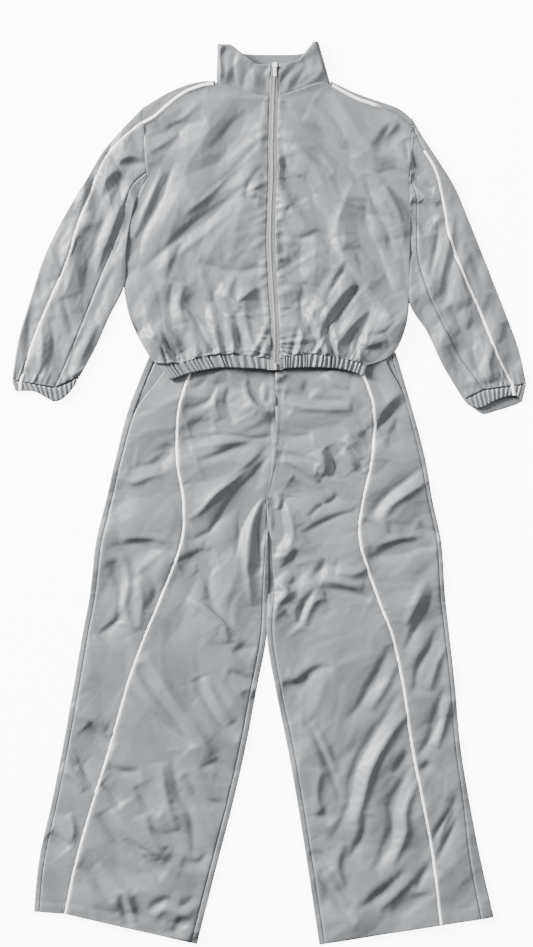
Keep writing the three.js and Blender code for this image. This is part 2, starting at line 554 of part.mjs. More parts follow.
const gridOf = (rows) => ({ outer: rows.map((row) => row.outer), inner: rows.map((row) => row.inner) });

// Jacket fronts: a folded side seam, an armhole, and the zip edge.
const HEM_REACH = 5; // the hem's curve fades out over the lowest fifth of the rows
const HEM_GAP = 0.5; // between the fronts' straight stretches and the gathered line
function jacketFront(name, side, yokeLine, hemLine, columns) {
  const sides = edgeRows(BODY, side, ROWS.body, ARMPIT);
  const zips = edgeRows(BODY, 'zip', ROWS.body);
  const outwards = side === 'right' ? -1 : 1;
  const folded = Math.round((ROWS.body * ARMPIT) / (BODY.length - 1));
  const rows = sides.map((rim, j) => {
    const zip = [zips[j][0] + outwards * FRONT_EDGE, zips[j][1]];
    const inwards = heading(rim, zip);
    const fold = j < folded ? 1 : 0;
    const row = new Row(jacket);
    const v = j / ROWS.body;
    const start = SIDE_ROLL / distance(rim, zip);
    const place = (topX) => {
      const share = (topX - columns[0]) / (columns[columns.length - 1] - columns[0]);
      const along = mix(start, 1, share);
      const p = mixPoint(rim, zip, along);
      const topY = mix(sides[ROWS.body][1], zips[ROWS.body][1], along);
      const topLift = yokeHeight(yokeLine, topX, -1) - topY;
      const hemX = mix(sides[0][0], zips[0][0] + outwards * FRONT_EDGE, along);
      const hemLift = heightOfLine(hemLine, hemX) + HEM_GAP - mix(sides[0][1], zips[0][1], along);
      const hemShare = Math.max(0, 1 - v * HEM_REACH);
      return [p[0], p[1] + topLift * v * v + hemLift * hemShare];
    };
    row.edge(rim, inwards, 180, fold, SEAM / 2);
    row.edge(rim, inwards, 135, fold);
    for (const x of columns) row.top(place(x));
    return row;
  });
  wall(name, gridOf(rows));
}

const RIGHT_COLUMNS = [...RIGHT_YOKE_X, ...RIGHT_NECK_X];
const LEFT_COLUMNS = [...LEFT_YOKE_X, ...LEFT_NECK_X];
jacketFront('jacket_front_right', 'right', RIGHT_YOKE_LINE, RIGHT_HEM.gather, RIGHT_COLUMNS);
jacketFront('jacket_front_left', 'left', LEFT_YOKE_LINE, LEFT_HEM.gather, LEFT_COLUMNS);

// Points at a distance beside a line, to the left of its course or, if negative, to the right.
function beside(line, gap) {
  return line.map((p, k) => {
    const [dx, dy] = heading(line[Math.max(0, k - 1)], line[Math.min(line.length - 1, k + 1)]);
    return [p[0] - dy * gap, p[1] + dx * gap];
  });
}

// Sleeve and leg backs: rolled forward round both edges to the seams on top.
function rolledBack(row, rimA, seamA, rimB, seamB) {
  const [inA, inB] = [heading(rimA, rimB), heading(rimB, rimA)];
  row.top(seamA);
  row.edge(rimA, inA, 90);
  for (const turn of ROLL_TURNS) row.edge(rimA, inA, turn);
  const [a, b] = [shift(rimA, inA, SIDE_ROLL), shift(rimB, inB, SIDE_ROLL)];
  for (let i = 0; i <= BACK_COLUMNS; i += 1) row.under(mixPoint(a, b, i / BACK_COLUMNS));
  for (const turn of [...ROLL_TURNS].reverse()) row.edge(rimB, inB, turn);
  row.edge(rimB, inB, 90);
  row.top(seamB);
}

// How far to go along `across` from point k of a line to be `gap` clear of the line.
const LEAST_SLANT = 0.35;
function clearance(line, k, across, gap) {
  const [dx, dy] = heading(line[Math.max(0, k - 1)], line[Math.min(line.length - 1, k + 1)]);
  const slant = Math.abs(across[0] * dy - across[1] * dx);
  return gap / Math.max(LEAST_SLANT, slant);
}

function sleevePieces(side, sections) {
  const [outer, piping, underarm, inner] = ['outer', 'piping', 'underarm', 'inner'].map((name) =>
    edgeRows(sections, name, ROWS.sleeve));
  const front = [];
  const back = [];
  outer.forEach((rim, j) => {
    const across = heading(piping[j], underarm[j]);
    const beyondPiping = clearance(piping, j, across, PIPING_HALF + SEAM);
    const halfGap = clearance(underarm, j, across, SEAM / 2);
    const row = new Row(sleeve);
    rolledBack(
      row,
      rim,
      shift(piping[j], across, -beyondPiping),
      inner[j],
      shift(underarm[j], across, halfGap),
    );
    back.push(row);
    const top = new Row(sleeve);
    const start = shift(piping[j], across, beyondPiping);
    const end = shift(underarm[j], across, -halfGap);
    for (let i = 0; i <= SLEEVE_COLUMNS; i += 1) top.top(mixPoint(start, end, i / SLEEVE_COLUMNS));
    front.push(top);
  });
  wall(`sleeve_${side}_front`, gridOf(front));
  wall(`sleeve_${side}_back`, gridOf(back));
}

sleevePieces('right', RIGHT_SLEEVE);
sleevePieces('left', LEFT_SLEEVE);

// Piping: a low ridge between two panels. `lifted` counts the last points, which lie on a cuff.
function piping(name, line, cloth, lifted = 0) {
  const sides = [beside(line, PIPING_HALF), beside(line, -PIPING_HALF)];
  const rings = line.map((p, k) => {
    const z = Math.max(cloth.top(sides[0][k]), cloth.top(sides[1][k]), cloth.top(p));
    const onCuff = k >= line.length - lifted;
    const foot = onCuff ? z + CUFF_PLEAT_DEPTH + SEAM : z - WALL;
    const crest = (onCuff ? z + CUFF_PLEAT_DEPTH + SEAM : z) + PIPING_PROUD;
    return [
      [...sides[0][k], foot], [...sides[0][k], crest - PIPING_PROUD * 0.6], [...p, crest],
      [...sides[1][k], crest - PIPING_PROUD * 0.6], [...sides[1][k], foot],
    ];
  });
  const size = rings[0].length;
  const faces = [];
  for (let k = 0; k + 1 < rings.length; k += 1) {
    for (let i = 0; i < size; i += 1) {
      const [a, b] = [k * size + i, k * size + ((i + 1) % size)];
      faces.push([a, b, b + size], [a, b + size, a + size]);
    }
  }
  const end = (rings.length - 1) * size;
  for (let i = 1; i + 1 < size; i += 1) {
    faces.push([0, i + 1, i], [end, end + i, end + i + 1]);
  }
  solid(name, rings.flat(), faces);
}

const RIGHT_CUFF_END = [[-434.9, 193.5], [-435.3, 181]];
const LEFT_CUFF_END = [[427, 186.5], [430, 172.4]];
// It starts this far from the armhole, where it meets the shoulder piping.
const RIGHT_PIPING_START = 2.4;
const LEFT_PIPING_START = 4.4;
for (const [side, sections, ends, start] of [
  ['right', RIGHT_SLEEVE, RIGHT_CUFF_END, RIGHT_PIPING_START],
  ['left', LEFT_SLEEVE, LEFT_CUFF_END, LEFT_PIPING_START],
]) {
  const line = edgeRows(sections, 'piping', ROWS.sleeve);
  line[0] = shift(line[0], heading(line[0], line[1]), start);
  piping(`piping_sleeve_${side}`, [...line, ...ends], sleeve, ends.length + 1);
}

// The back: one panel that folds forward over both shoulders to the piped seams.
const SHOULDER_TURNS = [225, 180, 135, 90];
const RISE_POWER = 6; // how late the rows rise to the shoulders and the neck
const BACK_X = [...RIGHT_YOKE_X, ...BACK_NECK.map(([x]) => x), ...[...LEFT_YOKE_X].reverse()];
const backShare = (x) => (x - BACK_X[0]) / (BACK_X[BACK_X.length - 1] - BACK_X[0]);
// The armhole line, which a sleeve's first section lies on
const armholeX = ([{ outer, inner }], y) => mix(inner[0], outer[0], (y - inner[1]) / (outer[1] - inner[1]));

function jacketBack() {
  const rights = edgeRows(BODY, 'right', ROWS.body, ARMPIT);
  const lefts = edgeRows(BODY, 'left', ROWS.body, ARMPIT);
  const folded = Math.round((ROWS.body * ARMPIT) / (BODY.length - 1));
  // The top row: shoulder edges at both sides, the neck seam between them.
  const [topRight, topLeft] = [RIGHT_SHOULDER[0], LEFT_SHOULDER[LEFT_SHOULDER.length - 1]];
  const rimAt = (x) => [x, heightOfLine(x < 0 ? RIGHT_SHOULDER : LEFT_SHOULDER, x)];
  const seamAt = (x) => [x, yokeHeight(x < 0 ? RIGHT_YOKE_LINE : LEFT_YOKE_LINE, x, 1)];
  const inNeck = (x) => x > PIPED_RIGHT && x < PIPED_LEFT;
  const down = [0, -1];
  const topPoint = (x) => (inNeck(x) ? [x, heightOfLine(BACK_NECK, x)] : shift(rimAt(x), down, SIDE_ROLL));
  const insetEnds = (right, left) => [
    shift(right, heading(right, left), SIDE_ROLL),
    shift(left, heading(left, right), SIDE_ROLL),
  ];
  const hemEnds = insetEnds(rights[0], lefts[0]);
  const shoulderEnds = insetEnds(rights[ROWS.body], lefts[ROWS.body]);
  const rows = rights.map((right, j) => {
    const left = lefts[j];
    const v = j / ROWS.body;
    const row = new Row(jacket);
    const [inR, inL] = [heading(right, left), heading(left, right)];
    const fold = j < folded ? 1 : 0;
    row.edge(right, inR, 180, fold, -SEAM / 2);
    row.edge(right, inR, 225, fold);
    const [a, b] = insetEnds(right, left);
    for (const x of BACK_X) {
      const [p, hemPoint, shoulderPoint] = [[a, b], hemEnds, shoulderEnds].map(([from, to]) =>
        mixPoint(from, to, backShare(x)));
      const hem = heightOfLine(BACK_HEM, hemPoint[0]) + SEAM - hemPoint[1];
      const [riseX, riseY] = [0, 1].map((k) => (topPoint(x)[k] - shoulderPoint[k]) * v ** RISE_POWER);
      row.under([p[0] + riseX, p[1] + riseY + hem * Math.max(0, 1 - v * HEM_REACH)]);
    }
    row.edge(left, inL, 225, fold);
    row.edge(left, inL, 180, fold, -SEAM / 2);
    return row;
  });
  // At the armhole the outermost columns stop at the shoulder edge.
  const last = rows[rows.length - 1];
  const ends = [topRight[0] + SEAM, topRight[0] + SIDE_ROLL * 0.3 + SEAM];
  const farEnds = [topLeft[0] - SIDE_ROLL * 0.3 - SEAM, topLeft[0] - SEAM];
  const columns = [...ends, ...BACK_X, ...farEnds];
  columns.forEach((x, i) => {
    const p = topPoint(x);
    last.outer[i] = [...p, 0];
    last.inner[i] = [...p, WALL];
  });
  for (const turn of SHOULDER_TURNS) {
    const row = new Row(jacket);
    for (const x of columns) row.edge(rimAt(x), down, turn);
    rows.push(row);
  }
  const seam = new Row(jacket);
  columns.forEach((x, i) => {
    const [, y] = seamAt(Math.min(BACK_X[BACK_X.length - 1], Math.max(BACK_X[0], x)));
    const [low, high] = [armholeX(RIGHT_SLEEVE, y) + SEAM, armholeX(LEFT_SLEEVE, y) - SEAM];
    const inwards = i === 1 || i === columns.length - 2 ? SIDE_ROLL / 3 : 0;
    seam.top([Math.min(high - inwards, Math.max(low + inwards, x)), y]);
  });
  rows.push(seam);
  const rightShoulder = ends.length + SHOULDER_COLUMNS;
  const leftShoulder = last.outer.length - 1 - farEnds.length - SHOULDER_COLUMNS;
  wall('jacket_back', gridOf(rows), {
    keep: (j, i) => j < ROWS.body || i < rightShoulder || i >= leftShoulder,
  });
}

jacketBack();

// Shoulder piping, in the seam between each front and the back, ending short of the collar.
const COLLAR_CLEARANCE = 1.2;
for (const [side, line, columns] of [
  ['right', RIGHT_YOKE_LINE, RIGHT_YOKE_X],
  ['left', LEFT_YOKE_LINE, LEFT_YOKE_X],
]) {
  const points = columns.map((x) => [x, heightOfLine(line, x)]);
  const [before, last] = points.slice(-2);
  points[points.length - 1] = shift(last, heading(last, before), COLLAR_CLEARANCE);
  piping(`piping_shoulder_${side}`, points, jacket);
}

// Collar: a strip that turns at both ends of the neck.
function collar() {
  const rows = [];
  for (let j = 0; j <= COLLAR_ROWS; j += 1) {
    const row = new Row(jacket);
    for (const { seam, rim, turn } of COLLAR) {
      const p = mixPoint(seam, rim, j / COLLAR_ROWS);
      const angle = THREE.MathUtils.degToRad(turn);
      const half = jacket.top(p) / 2;
      const outwards = p[0] < 0 ? 1 : -1;
      const sideways = outwards * Math.cos(angle) * WALL;
      row.outer.push([...p, half * (1 + Math.sin(angle))]);
      row.inner.push([p[0] - sideways, p[1], half + (half - WALL) * Math.sin(angle)]);
    }
    rows.push(row);
  }
  wall('collar', gridOf(rows));
}

collar();

// A gathered tube end laid flat: front layer with pleats, plain back layer.
const pleatHeight = (depth, k) => depth * Math.cos((2 * Math.PI * k) / STEPS_PER_PLEAT);
const CUFF_BACK_STEP = 6; // columns of the front to one of the plain back

function cuff(name, outerEnd, innerEnd, pleatLine, frontEdge, backEdge) {
  const steps = CUFF_PLEATS * STEPS_PER_PLEAT;
  const [gathers, fronts, backs] = [pleatLine, frontEdge, backEdge].map((line) => stations(line, steps));
  const rows = [0, 1].map((v) => {
    const row = new Row(sleeve);
    const front = (k) => mixPoint(gathers[k], fronts[k], v);
    const back = (k) => mixPoint(mixPoint(outerEnd[0], innerEnd[0], k / steps), backs[k], v);
    const [a, b] = [mixPoint(outerEnd[0], outerEnd[1], v), mixPoint(innerEnd[0], innerEnd[1], v)];
    const [inA, inB] = [heading(a, b), heading(b, a)];
    for (const turn of [270, 225, 180, 135]) row.edge(a, inA, turn);
    for (let k = 1; k < steps; k += 1) {
      row.top(front(k), pleatHeight(CUFF_PLEAT_DEPTH, k));
    }
    for (const turn of [135, 180, 225, 270]) row.edge(b, inB, turn);
    for (let k = steps - CUFF_BACK_STEP; k > 0; k -= CUFF_BACK_STEP) row.under(back(k));
    return row;
  });
  wall(name, gridOf(rows), { ring: true });
}

cuff(
  'cuff_right',
  [[-450.6, 198.6], [-444.5, 180]],
  [[-331.5, 205.6], [-334, 201]],
  [[-448, 198], [-434.6, 196.6], [-405, 191], [-375, 186.6], [-352, 194], [-334, 205]],
  [[-442, 180], [-412, 179.5], [-390, 168.5], [-374, 161.5], [-355, 172], [-337, 194]],
  [[-442, 180], [-412, 179.5], [-390, 168.5], [-374, 161.5], [-355, 172], [-337, 194]],
);
cuff(
  'cuff_left',
  [[451, 192.6], [443.5, 161]],
  [[340, 165.6], [350, 154.5]],
  [[448.6, 191.9], [426.6, 189.4], [398, 185], [376, 181.6], [358, 173], [342.6, 166.6]],
  [[441, 166], [428, 172], [402, 166], [376, 152.5], [362, 150], [352, 156]],
  [[441, 159.5], [420, 152], [400, 146], [376, 139.5], [362, 147.5], [352, 154.5]],
);

// Hem band: from the zip along the front, round the back and forward again to the zip.
function hemBand() {
  const steps = HEM_PLEATS * STEPS_PER_PLEAT;
  const lines = new Map([RIGHT_HEM, LEFT_HEM].map((hem) => [
    hem,
    { gather: stations(hem.gather, steps), edge: stations(hem.edge, steps) },
  ]));
  // The plain back layer has the back panel's columns.
  const [hemRight, hemLeft] = [BODY[0].right[0] + SIDE_ROLL, BODY[0].left[0] - SIDE_ROLL];
  const backX = BACK_X.map((x) => mix(hemRight, hemLeft, backShare(x)))
    .filter((x) => x > BACK_HEM[0][0] + SIDE_ROLL && x < BACK_HEM[BACK_HEM.length - 1][0] - SIDE_ROLL);
  const rows = [0, 1].map((v) => {
    const row = new Row(jacket);
    const at = (hem, k) => mixPoint(lines.get(hem).gather[k], lines.get(hem).edge[k], v);
    const [endR, endL] = [at(RIGHT_HEM, steps), at(LEFT_HEM, steps)];
    const [rimR, rimL] = [[endR[0] - SIDE_ROLL, endR[1]], [endL[0] + SIDE_ROLL, endL[1]]];
    for (let k = 0; k < steps; k += 1) {
      row.top(at(RIGHT_HEM, k), pleatHeight(HEM_PLEAT_DEPTH, k));
    }
    for (const turn of [90, 135, 180, 225, 270]) row.edge(rimR, [1, 0], turn);
    for (const x of backX) {
      const share = (x - BACK_HEM[0][0]) / (BACK_HEM[BACK_HEM.length - 1][0] - BACK_HEM[0][0]);
      const edgeX = mix(RIGHT_HEM.edge.at(-1)[0], LEFT_HEM.edge.at(-1)[0], share);
      const edge = edgeX < BODY[0].zip[0] ? RIGHT_HEM.edge : LEFT_HEM.edge;
      row.under([mix(x, edgeX, v), mix(heightOfLine(BACK_HEM, x), heightOfLine(edge, edgeX), v)]);
    }
    for (const turn of [270, 225, 180, 135, 90]) row.edge(rimL, [-1, 0], turn);
    for (let k = steps - 1; k >= 0; k -= 1) {
      row.top(at(LEFT_HEM, k), pleatHeight(HEM_PLEAT_DEPTH, k));
    }
    return row;
  });
  wall('hem_band', gridOf(rows));
}

hemBand();

// Trouser legs: front, side and back, with the facing that shows in the pocket's mouth.
function pocketInset(pocket, y) {
  return pocket.top * smooth((y - pocket.foot) / (WAIST_SEAM - pocket.foot));
}

function legPieces(side, sections, pocket) {
  const [outer, outseam, pipes, inner] = ['outer', 'outseam', 'piping', 'inner'].map((name) =>
    edgeRows(sections, name, ROWS.leg, name === 'inner' ? CROTCH : 0));
  const crotchRow = Math.round((ROWS.leg * CROTCH) / (sections.length - 1));
  const front = [];
  const sidePanel = [];
  const back = [];
  const facing = [];
  outer.forEach((rim, j) => {
    const across = heading(rim, inner[j]);
    const split = j >= crotchRow;
    const inset = split ? INSEAM_INSET : 0;
    const inseam = shift(inner[j], across, -inset);
    const centre = shift(inner[j], across, -SEAM / 2);
    const mouth = shift(outseam[j], across, pocketInset(pocket, outseam[j][1]));
    const frontRow = new Row(leg);
    const beyondPiping = clearance(pipes, j, across, PIPING_HALF + SEAM);
    const frontStart = shift(pipes[j], across, beyondPiping);
    const frontEnd = split ? shift(inseam, across, -SEAM / 2) : centre;
    for (let i = 0; i <= LEG_FRONT_COLUMNS; i += 1) {
      frontRow.top(mixPoint(frontStart, frontEnd, i / LEG_FRONT_COLUMNS));
    }
    front.push(frontRow);
    const sideRow = new Row(leg);
    const sideStart = shift(mouth, across, SEAM / 2);
    const sideEnd = shift(pipes[j], across, -beyondPiping);
    for (let i = 0; i <= LEG_SIDE_COLUMNS; i += 1) {
      sideRow.top(mixPoint(sideStart, sideEnd, i / LEG_SIDE_COLUMNS));
    }
    sidePanel.push(sideRow);
    const backRow = new Row(leg);
    rolledBack(
      backRow,
      rim,
      shift(outseam[j], across, -SEAM / 2),
      inner[j],
      shift(inner[j], across, -INSEAM_INSET + SEAM / 2),
    );
    if (!split) {
      // Above the crotch the back ends flat at the centre seam.
      const end = 5 + BACK_COLUMNS;
      backRow.outer[end] = [...centre, 0];
      backRow.inner[end] = [...centre, WALL];
    }
    back.push(backRow);
    if (distance(outseam[j], mouth) > 1.5) {
      const facingRow = new Row(leg);
      facingRow.top(shift(outseam[j], across, SEAM / 2), POCKET_DROP);
      facingRow.top(shift(mouth, across, -SEAM / 2), POCKET_DROP);
      facing.push(facingRow);
    }
  });
  wall(`trouser_front_${side}`, gridOf(front));
  wall(`trouser_side_${side}`, gridOf(sidePanel));
  const flatEnd = 5 + BACK_COLUMNS;
  wall(`trouser_back_${side}`, gridOf(back), { keep: (j, i) => i < flatEnd || j >= crotchRow });
  wall(`pocket_facing_${side}`, gridOf(facing));
  piping(`piping_trouser_${side}`, pipes, leg);
}

legPieces('right', RIGHT_LEG, RIGHT_POCKET);
legPieces('left', LEFT_LEG, LEFT_POCKET);

// Elastic waistband: a plain ring under the jacket's hem.
const WAIST_STEPS = 4;
function waistband() {
  const flat = { under: () => 0, top: () => WAIST_HEIGHT };
  const rows = [0, 1].map((v) => {
    const y = mix(WAIST_SEAM + SEAM, WAIST_TOP, v);
    const half = mix(WAIST_HALF_SEAM, WAIST_HALF_TOP, v);
    const [a, b] = [[WAIST_CENTRE - half, y], [WAIST_CENTRE + half, y]];
    const row = new Row(flat);
    const across = (k) => mixPoint(a, b, k / WAIST_STEPS);
    for (const turn of [270, 225, 180, 135, 90]) row.edge(a, [1, 0], turn);
    for (let k = 1; k < WAIST_STEPS; k += 1) row.top(across(k));
    for (const turn of [90, 135, 180, 225, 270]) row.edge(b, [-1, 0], turn);
    for (let k = WAIST_STEPS - 1; k > 0; k -= 1) row.under(across(k));
    return row;
  });
  wall('waistband', gridOf(rows), { ring: true });
}

waistband();

// Zip tapes, one on each side of the zip's line, from the hem to the collar's rim.
const ZIP_LINE = [
  [10.6, 217], [9.7, 238], [10.8, 262], [9.6, 310], [6, 365], [2.7, 430], [3.4, 497],
  [5.8, 553], [6.2, 625], [8.2, 697.4], [10, 753],
];
const ZIP_STEPS = 24;
const zipLine = stations(ZIP_LINE, ZIP_STEPS);

function zipTape(name, outwards) {
  const top = (x, y) => jacket.top([x, y]) - TAPE_DROP;
  const neck = BODY[BODY.length - 1].zip[1];
  const rim = ZIP_LINE[ZIP_LINE.length - 1][1];
  const rows = zipLine.map(([x, y]) => {
    const half = mix(TAPE_HALF, TAPE_HALF_AT_RIM, Math.max(0, (y - neck) / (rim - neck)));
    const [near, far] = [x + (outwards * SEAM) / 2, x + outwards * half];
    return {
      outer: [[near, y, top(near, y)], [far, y, top(far, y)]],
      inner: [[near, y, top(near, y) - TAPE_THICK], [far, y, top(far, y) - TAPE_THICK]],
    };
  });
  wall(name, gridOf(rows));
}

zipTape('zip_tape_right', -1);
zipTape('zip_tape_left', 1);

// Zip slider with two lugs that carry a pin, and the pull tab that turns on it.
function toManifold(geometry) {
  const bare = geometry.clone();
  bare.deleteAttribute('normal');
  bare.deleteAttribute('uv');
  const merged = mergeVertices(bare.index ? bare.toNonIndexed() : bare, 1e-4);
  return new wasm.Manifold(new wasm.Mesh({
    numProp: 3,
    vertProperties: merged.attributes.position.array,
    triVerts: new Uint32Array(merged.index.array),
  }));
}

function toGeometry(manifold) {
  const mesh = manifold.getMesh();
  const geometry = new THREE.BufferGeometry();
  geometry.setAttribute('position', new THREE.BufferAttribute(mesh.vertProperties, 3));
  geometry.setIndex(new THREE.BufferAttribute(mesh.triVerts, 1));
  geometry.computeVertexNormals();
  return geometry;
}

const extruded = (shape, depth) =>
  new THREE.ExtrudeGeometry(shape, { depth, bevelEnabled: false, curveSegments: 10 });

const zipAt = (y) => {
  const k = Math.max(1, zipLine.findIndex((p) => p[1] >= y));
  const [a, b] = [zipLine[k - 1], zipLine[k]];
  return mix(a[0], b[0], (y - a[1]) / (b[1] - a[1]));
};
// The highest cloth under a small piece centred at x, from y `low` to `high`.
function seatUnder(x, halfWidth, low, high) {
  const heights = [];
  for (let k = 0; k <= 8; k += 1) {
    const y = mix(low, high, k / 8);
    for (const side of [-halfWidth, 0, halfWidth]) heights.push(jacket.top([x + side, y]));
  }
  return Math.max(...heights);
}

const sliderX = zipAt(SLIDER.y);
const sliderFoot = SLIDER.y - SLIDER.length / 2;
const sliderSeat = seatUnder(sliderX, SLIDER.top / 2, sliderFoot, sliderFoot + SLIDER.length) + SEAM;
const pinCentre = [sliderX, PIN.y, sliderSeat + SLIDER.height + PIN.rise];

function zipSlider() {
  const [halfTop, halfFoot, waist] = [SLIDER.top / 2, SLIDER.bottom / 2, SLIDER.length * 0.45];
  const plan = new THREE.Shape([
    new THREE.Vector2(-halfFoot, 0),
    new THREE.Vector2(halfFoot, 0),
    new THREE.Vector2(halfTop, waist),
    new THREE.Vector2(halfTop, SLIDER.length),
    new THREE.Vector2(-halfTop, SLIDER.length),
    new THREE.Vector2(-halfTop, waist),
  ]);
  const plate = extruded(plan, SLIDER.height).translate(sliderX, sliderFoot, sliderSeat);
  let body = toManifold(plate);
  for (const side of [-1, 1]) {
    const lug = new THREE.BoxGeometry(LUG.width, LUG.length, LUG.height + 0.2);
    lug.translate(
      sliderX + side * (LUG.inside + LUG.width / 2),
      PIN.y,
      sliderSeat + SLIDER.height + LUG.height / 2 - 0.1,
    );
    body = body.add(toManifold(lug));
  }
  const pin = new THREE.CylinderGeometry(PIN.radius, PIN.radius, 2 * LUG.inside + 0.4, 12);
  pin.rotateZ(Math.PI / 2).translate(...pinCentre);
  add('zip_slider', toGeometry(body.add(toManifold(pin))));
}

// The tab's side view is drawn pointing down the zip, and turned down until it rests on the cloth.
function pullTab() {
  const [eye, half] = [TAB.eye, TAB.thickness / 2];
  const meet = Math.asin(half / eye);
  const shape = new THREE.Shape();
  shape.moveTo(-TAB.length, -half);
  shape.absarc(0, 0, eye, -Math.PI + meet, Math.PI - meet, false);
  shape.lineTo(-TAB.length, half);
  const hole = new THREE.Path();
  hole.absarc(0, 0, PIN.radius + SEAM, 0, 2 * Math.PI, true);
  shape.holes.push(hole);
  const cloth = seatUnder(sliderX, TAB.width / 2, PIN.y - TAB.length, sliderFoot - SEAM);
  const droop = Math.asin((pinCentre[2] - cloth - SEAM - half) / TAB.length);
  const upright = new THREE.Matrix4().makeBasis(
    new THREE.Vector3(0, 1, 0),
    new THREE.Vector3(0, 0, 1),
    new THREE.Vector3(1, 0, 0),
  );
  const geometry = extruded(shape, TAB.width).translate(0, 0, -TAB.width / 2);
  geometry.applyMatrix4(upright).rotateX(droop).translate(...pinCentre);
  add('zip_pull_tab', geometry);
}

// The retainer that holds the two tapes together at the hem.
function retainer() {
  const x = zipAt(RETAINER.y);
  const [low, high] = [RETAINER.y - RETAINER.length / 2, RETAINER.y + RETAINER.length / 2];
  const seat = seatUnder(x, RETAINER.width / 2, low, high) - TAPE_DROP + SEAM;
  const geometry = new THREE.BoxGeometry(RETAINER.width, RETAINER.length, RETAINER.height);
  add('zip_retainer', geometry.translate(x, RETAINER.y, seat + RETAINER.height / 2));
}

zipSlider();
pullTab();
retainer();

// Rest the laid-out suit on the surface with the middle of its box over the origin.
const box = new THREE.Box3().setFromObject(suit);
const middle = box.getCenter(new THREE.Vector3());
suit.position.set(-middle.x, -middle.y, -box.min.z);

export default suit;
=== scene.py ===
"""Looks of a nylon tracksuit laid flat: a zip jacket over wide trousers, both with white piping.

Tables are in millimetres, in the layout's own coordinates: +X to the right across the suit, +Y
towards the collar and +Z up. "Right" and "left" are the wearer's. Meshes are made in metres.
"""

import logging
import math
from dataclasses import dataclass, field
from enum import Enum
from typing import Iterable, Sequence

import bmesh
import bpy
import numpy as np
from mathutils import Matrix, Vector


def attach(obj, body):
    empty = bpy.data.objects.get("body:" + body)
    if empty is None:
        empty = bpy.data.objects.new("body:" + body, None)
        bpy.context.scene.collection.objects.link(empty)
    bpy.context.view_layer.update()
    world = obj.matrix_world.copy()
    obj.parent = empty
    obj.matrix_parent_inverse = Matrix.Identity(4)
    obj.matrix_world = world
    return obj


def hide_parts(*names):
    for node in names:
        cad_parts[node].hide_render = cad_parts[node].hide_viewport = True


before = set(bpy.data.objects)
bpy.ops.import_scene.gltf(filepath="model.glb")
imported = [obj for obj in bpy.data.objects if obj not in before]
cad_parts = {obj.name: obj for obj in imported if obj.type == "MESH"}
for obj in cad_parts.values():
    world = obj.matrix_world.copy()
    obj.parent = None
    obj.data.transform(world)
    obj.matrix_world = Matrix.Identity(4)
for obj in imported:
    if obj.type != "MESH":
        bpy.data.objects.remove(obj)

log = logging.getLogger("tracksuit")

Array = np.ndarray
Point = tuple[float, float]
Colour = tuple[float, float, float]

MM = 0.001
LAYOUT_TO_FRAME = np.array([-0.2, -0.75, 0.0])  # millimetres, so that the box is centred
SEED = 11

# Cloth
SHELL = 0.5  # thickness of the visible cloth
LOFT = 5.0  # height of two layers near a folded edge
CROWN = 3.6  # how much higher the middle of a piece stands
CROWN_REACH = 32.0  # distance from a folded edge over which it rises
LEAST_LOFT = 1.9  # least height of the upper layer over the lower one
SIDE_ROLL = 2.6  # radius in plan of a folded edge

# The jacket's hem over the trousers' waistband
WAIST_HEIGHT = 6.6
LIFT = 6.9  # how far the jacket's lower layer climbs on to the waistband
LIFT_FROM = 340.0
LIFT_TO = 288.0
WAIST_TOP = 274.0
WAIST_SEAM = 232.0
WAIST_HALF_TOP = 192.0
WAIST_HALF_SEAM = 204.0
WAIST_CENTRE = 6.0
PRESSED_FROM = 150.0  # from here up the jacket presses the trousers flatter
PRESSED_TO = 206.0
PRESSED_LOFT = 5.1

# Collar
COLLAR_FROM = 698.0
COLLAR_TO = 742.0
COLLAR_RISE = 7.0  # how much higher the collar's rim stands than its seam

# Piping and zip
COVERED_AT = (240.0, 651.0)  # middle of the stretch of left shoulder piping under the cloth
COVERED_REACH = 58.0
COVERED_DEPTH = 2.4
COVERED_FADE = 8.0
TAPE_HALF = 8.0  # half the width that shows of the closed tapes
TAPE_HALF_AT_RIM = 5.5
FRONT_EDGE = 8.3  # from the zip's centre to a front's edge
PIPED_RIGHT = -94.0  # x at which the shoulder piping meets the collar
PIPED_LEFT = 108.0
SLIDER_FOOT = 743.5
ALLOWANCE = 1.6  # cloth beyond a seam of the trousers, out of sight
INSEAM_INSET = 10.0  # from a leg's inner edge to its inseam
CROTCH_INSET = 0.8  # the same at the crotch
INSEAM_ROWS = 70.0  # rows from the crotch over which the one becomes the other
INNER_EDGE_ROWS = 8.0  # rows below the crotch over which the inner edge starts to roll
POCKET_LEAST = 1.0  # a pocket mouth narrower than this is closed
HEM_STITCH_ROW = 8  # rows between a trouser hem's edge and its stitches

ARMPIT = 6  # section of the body where the armhole starts
CROTCH = 3  # section of the legs where the inner edge starts

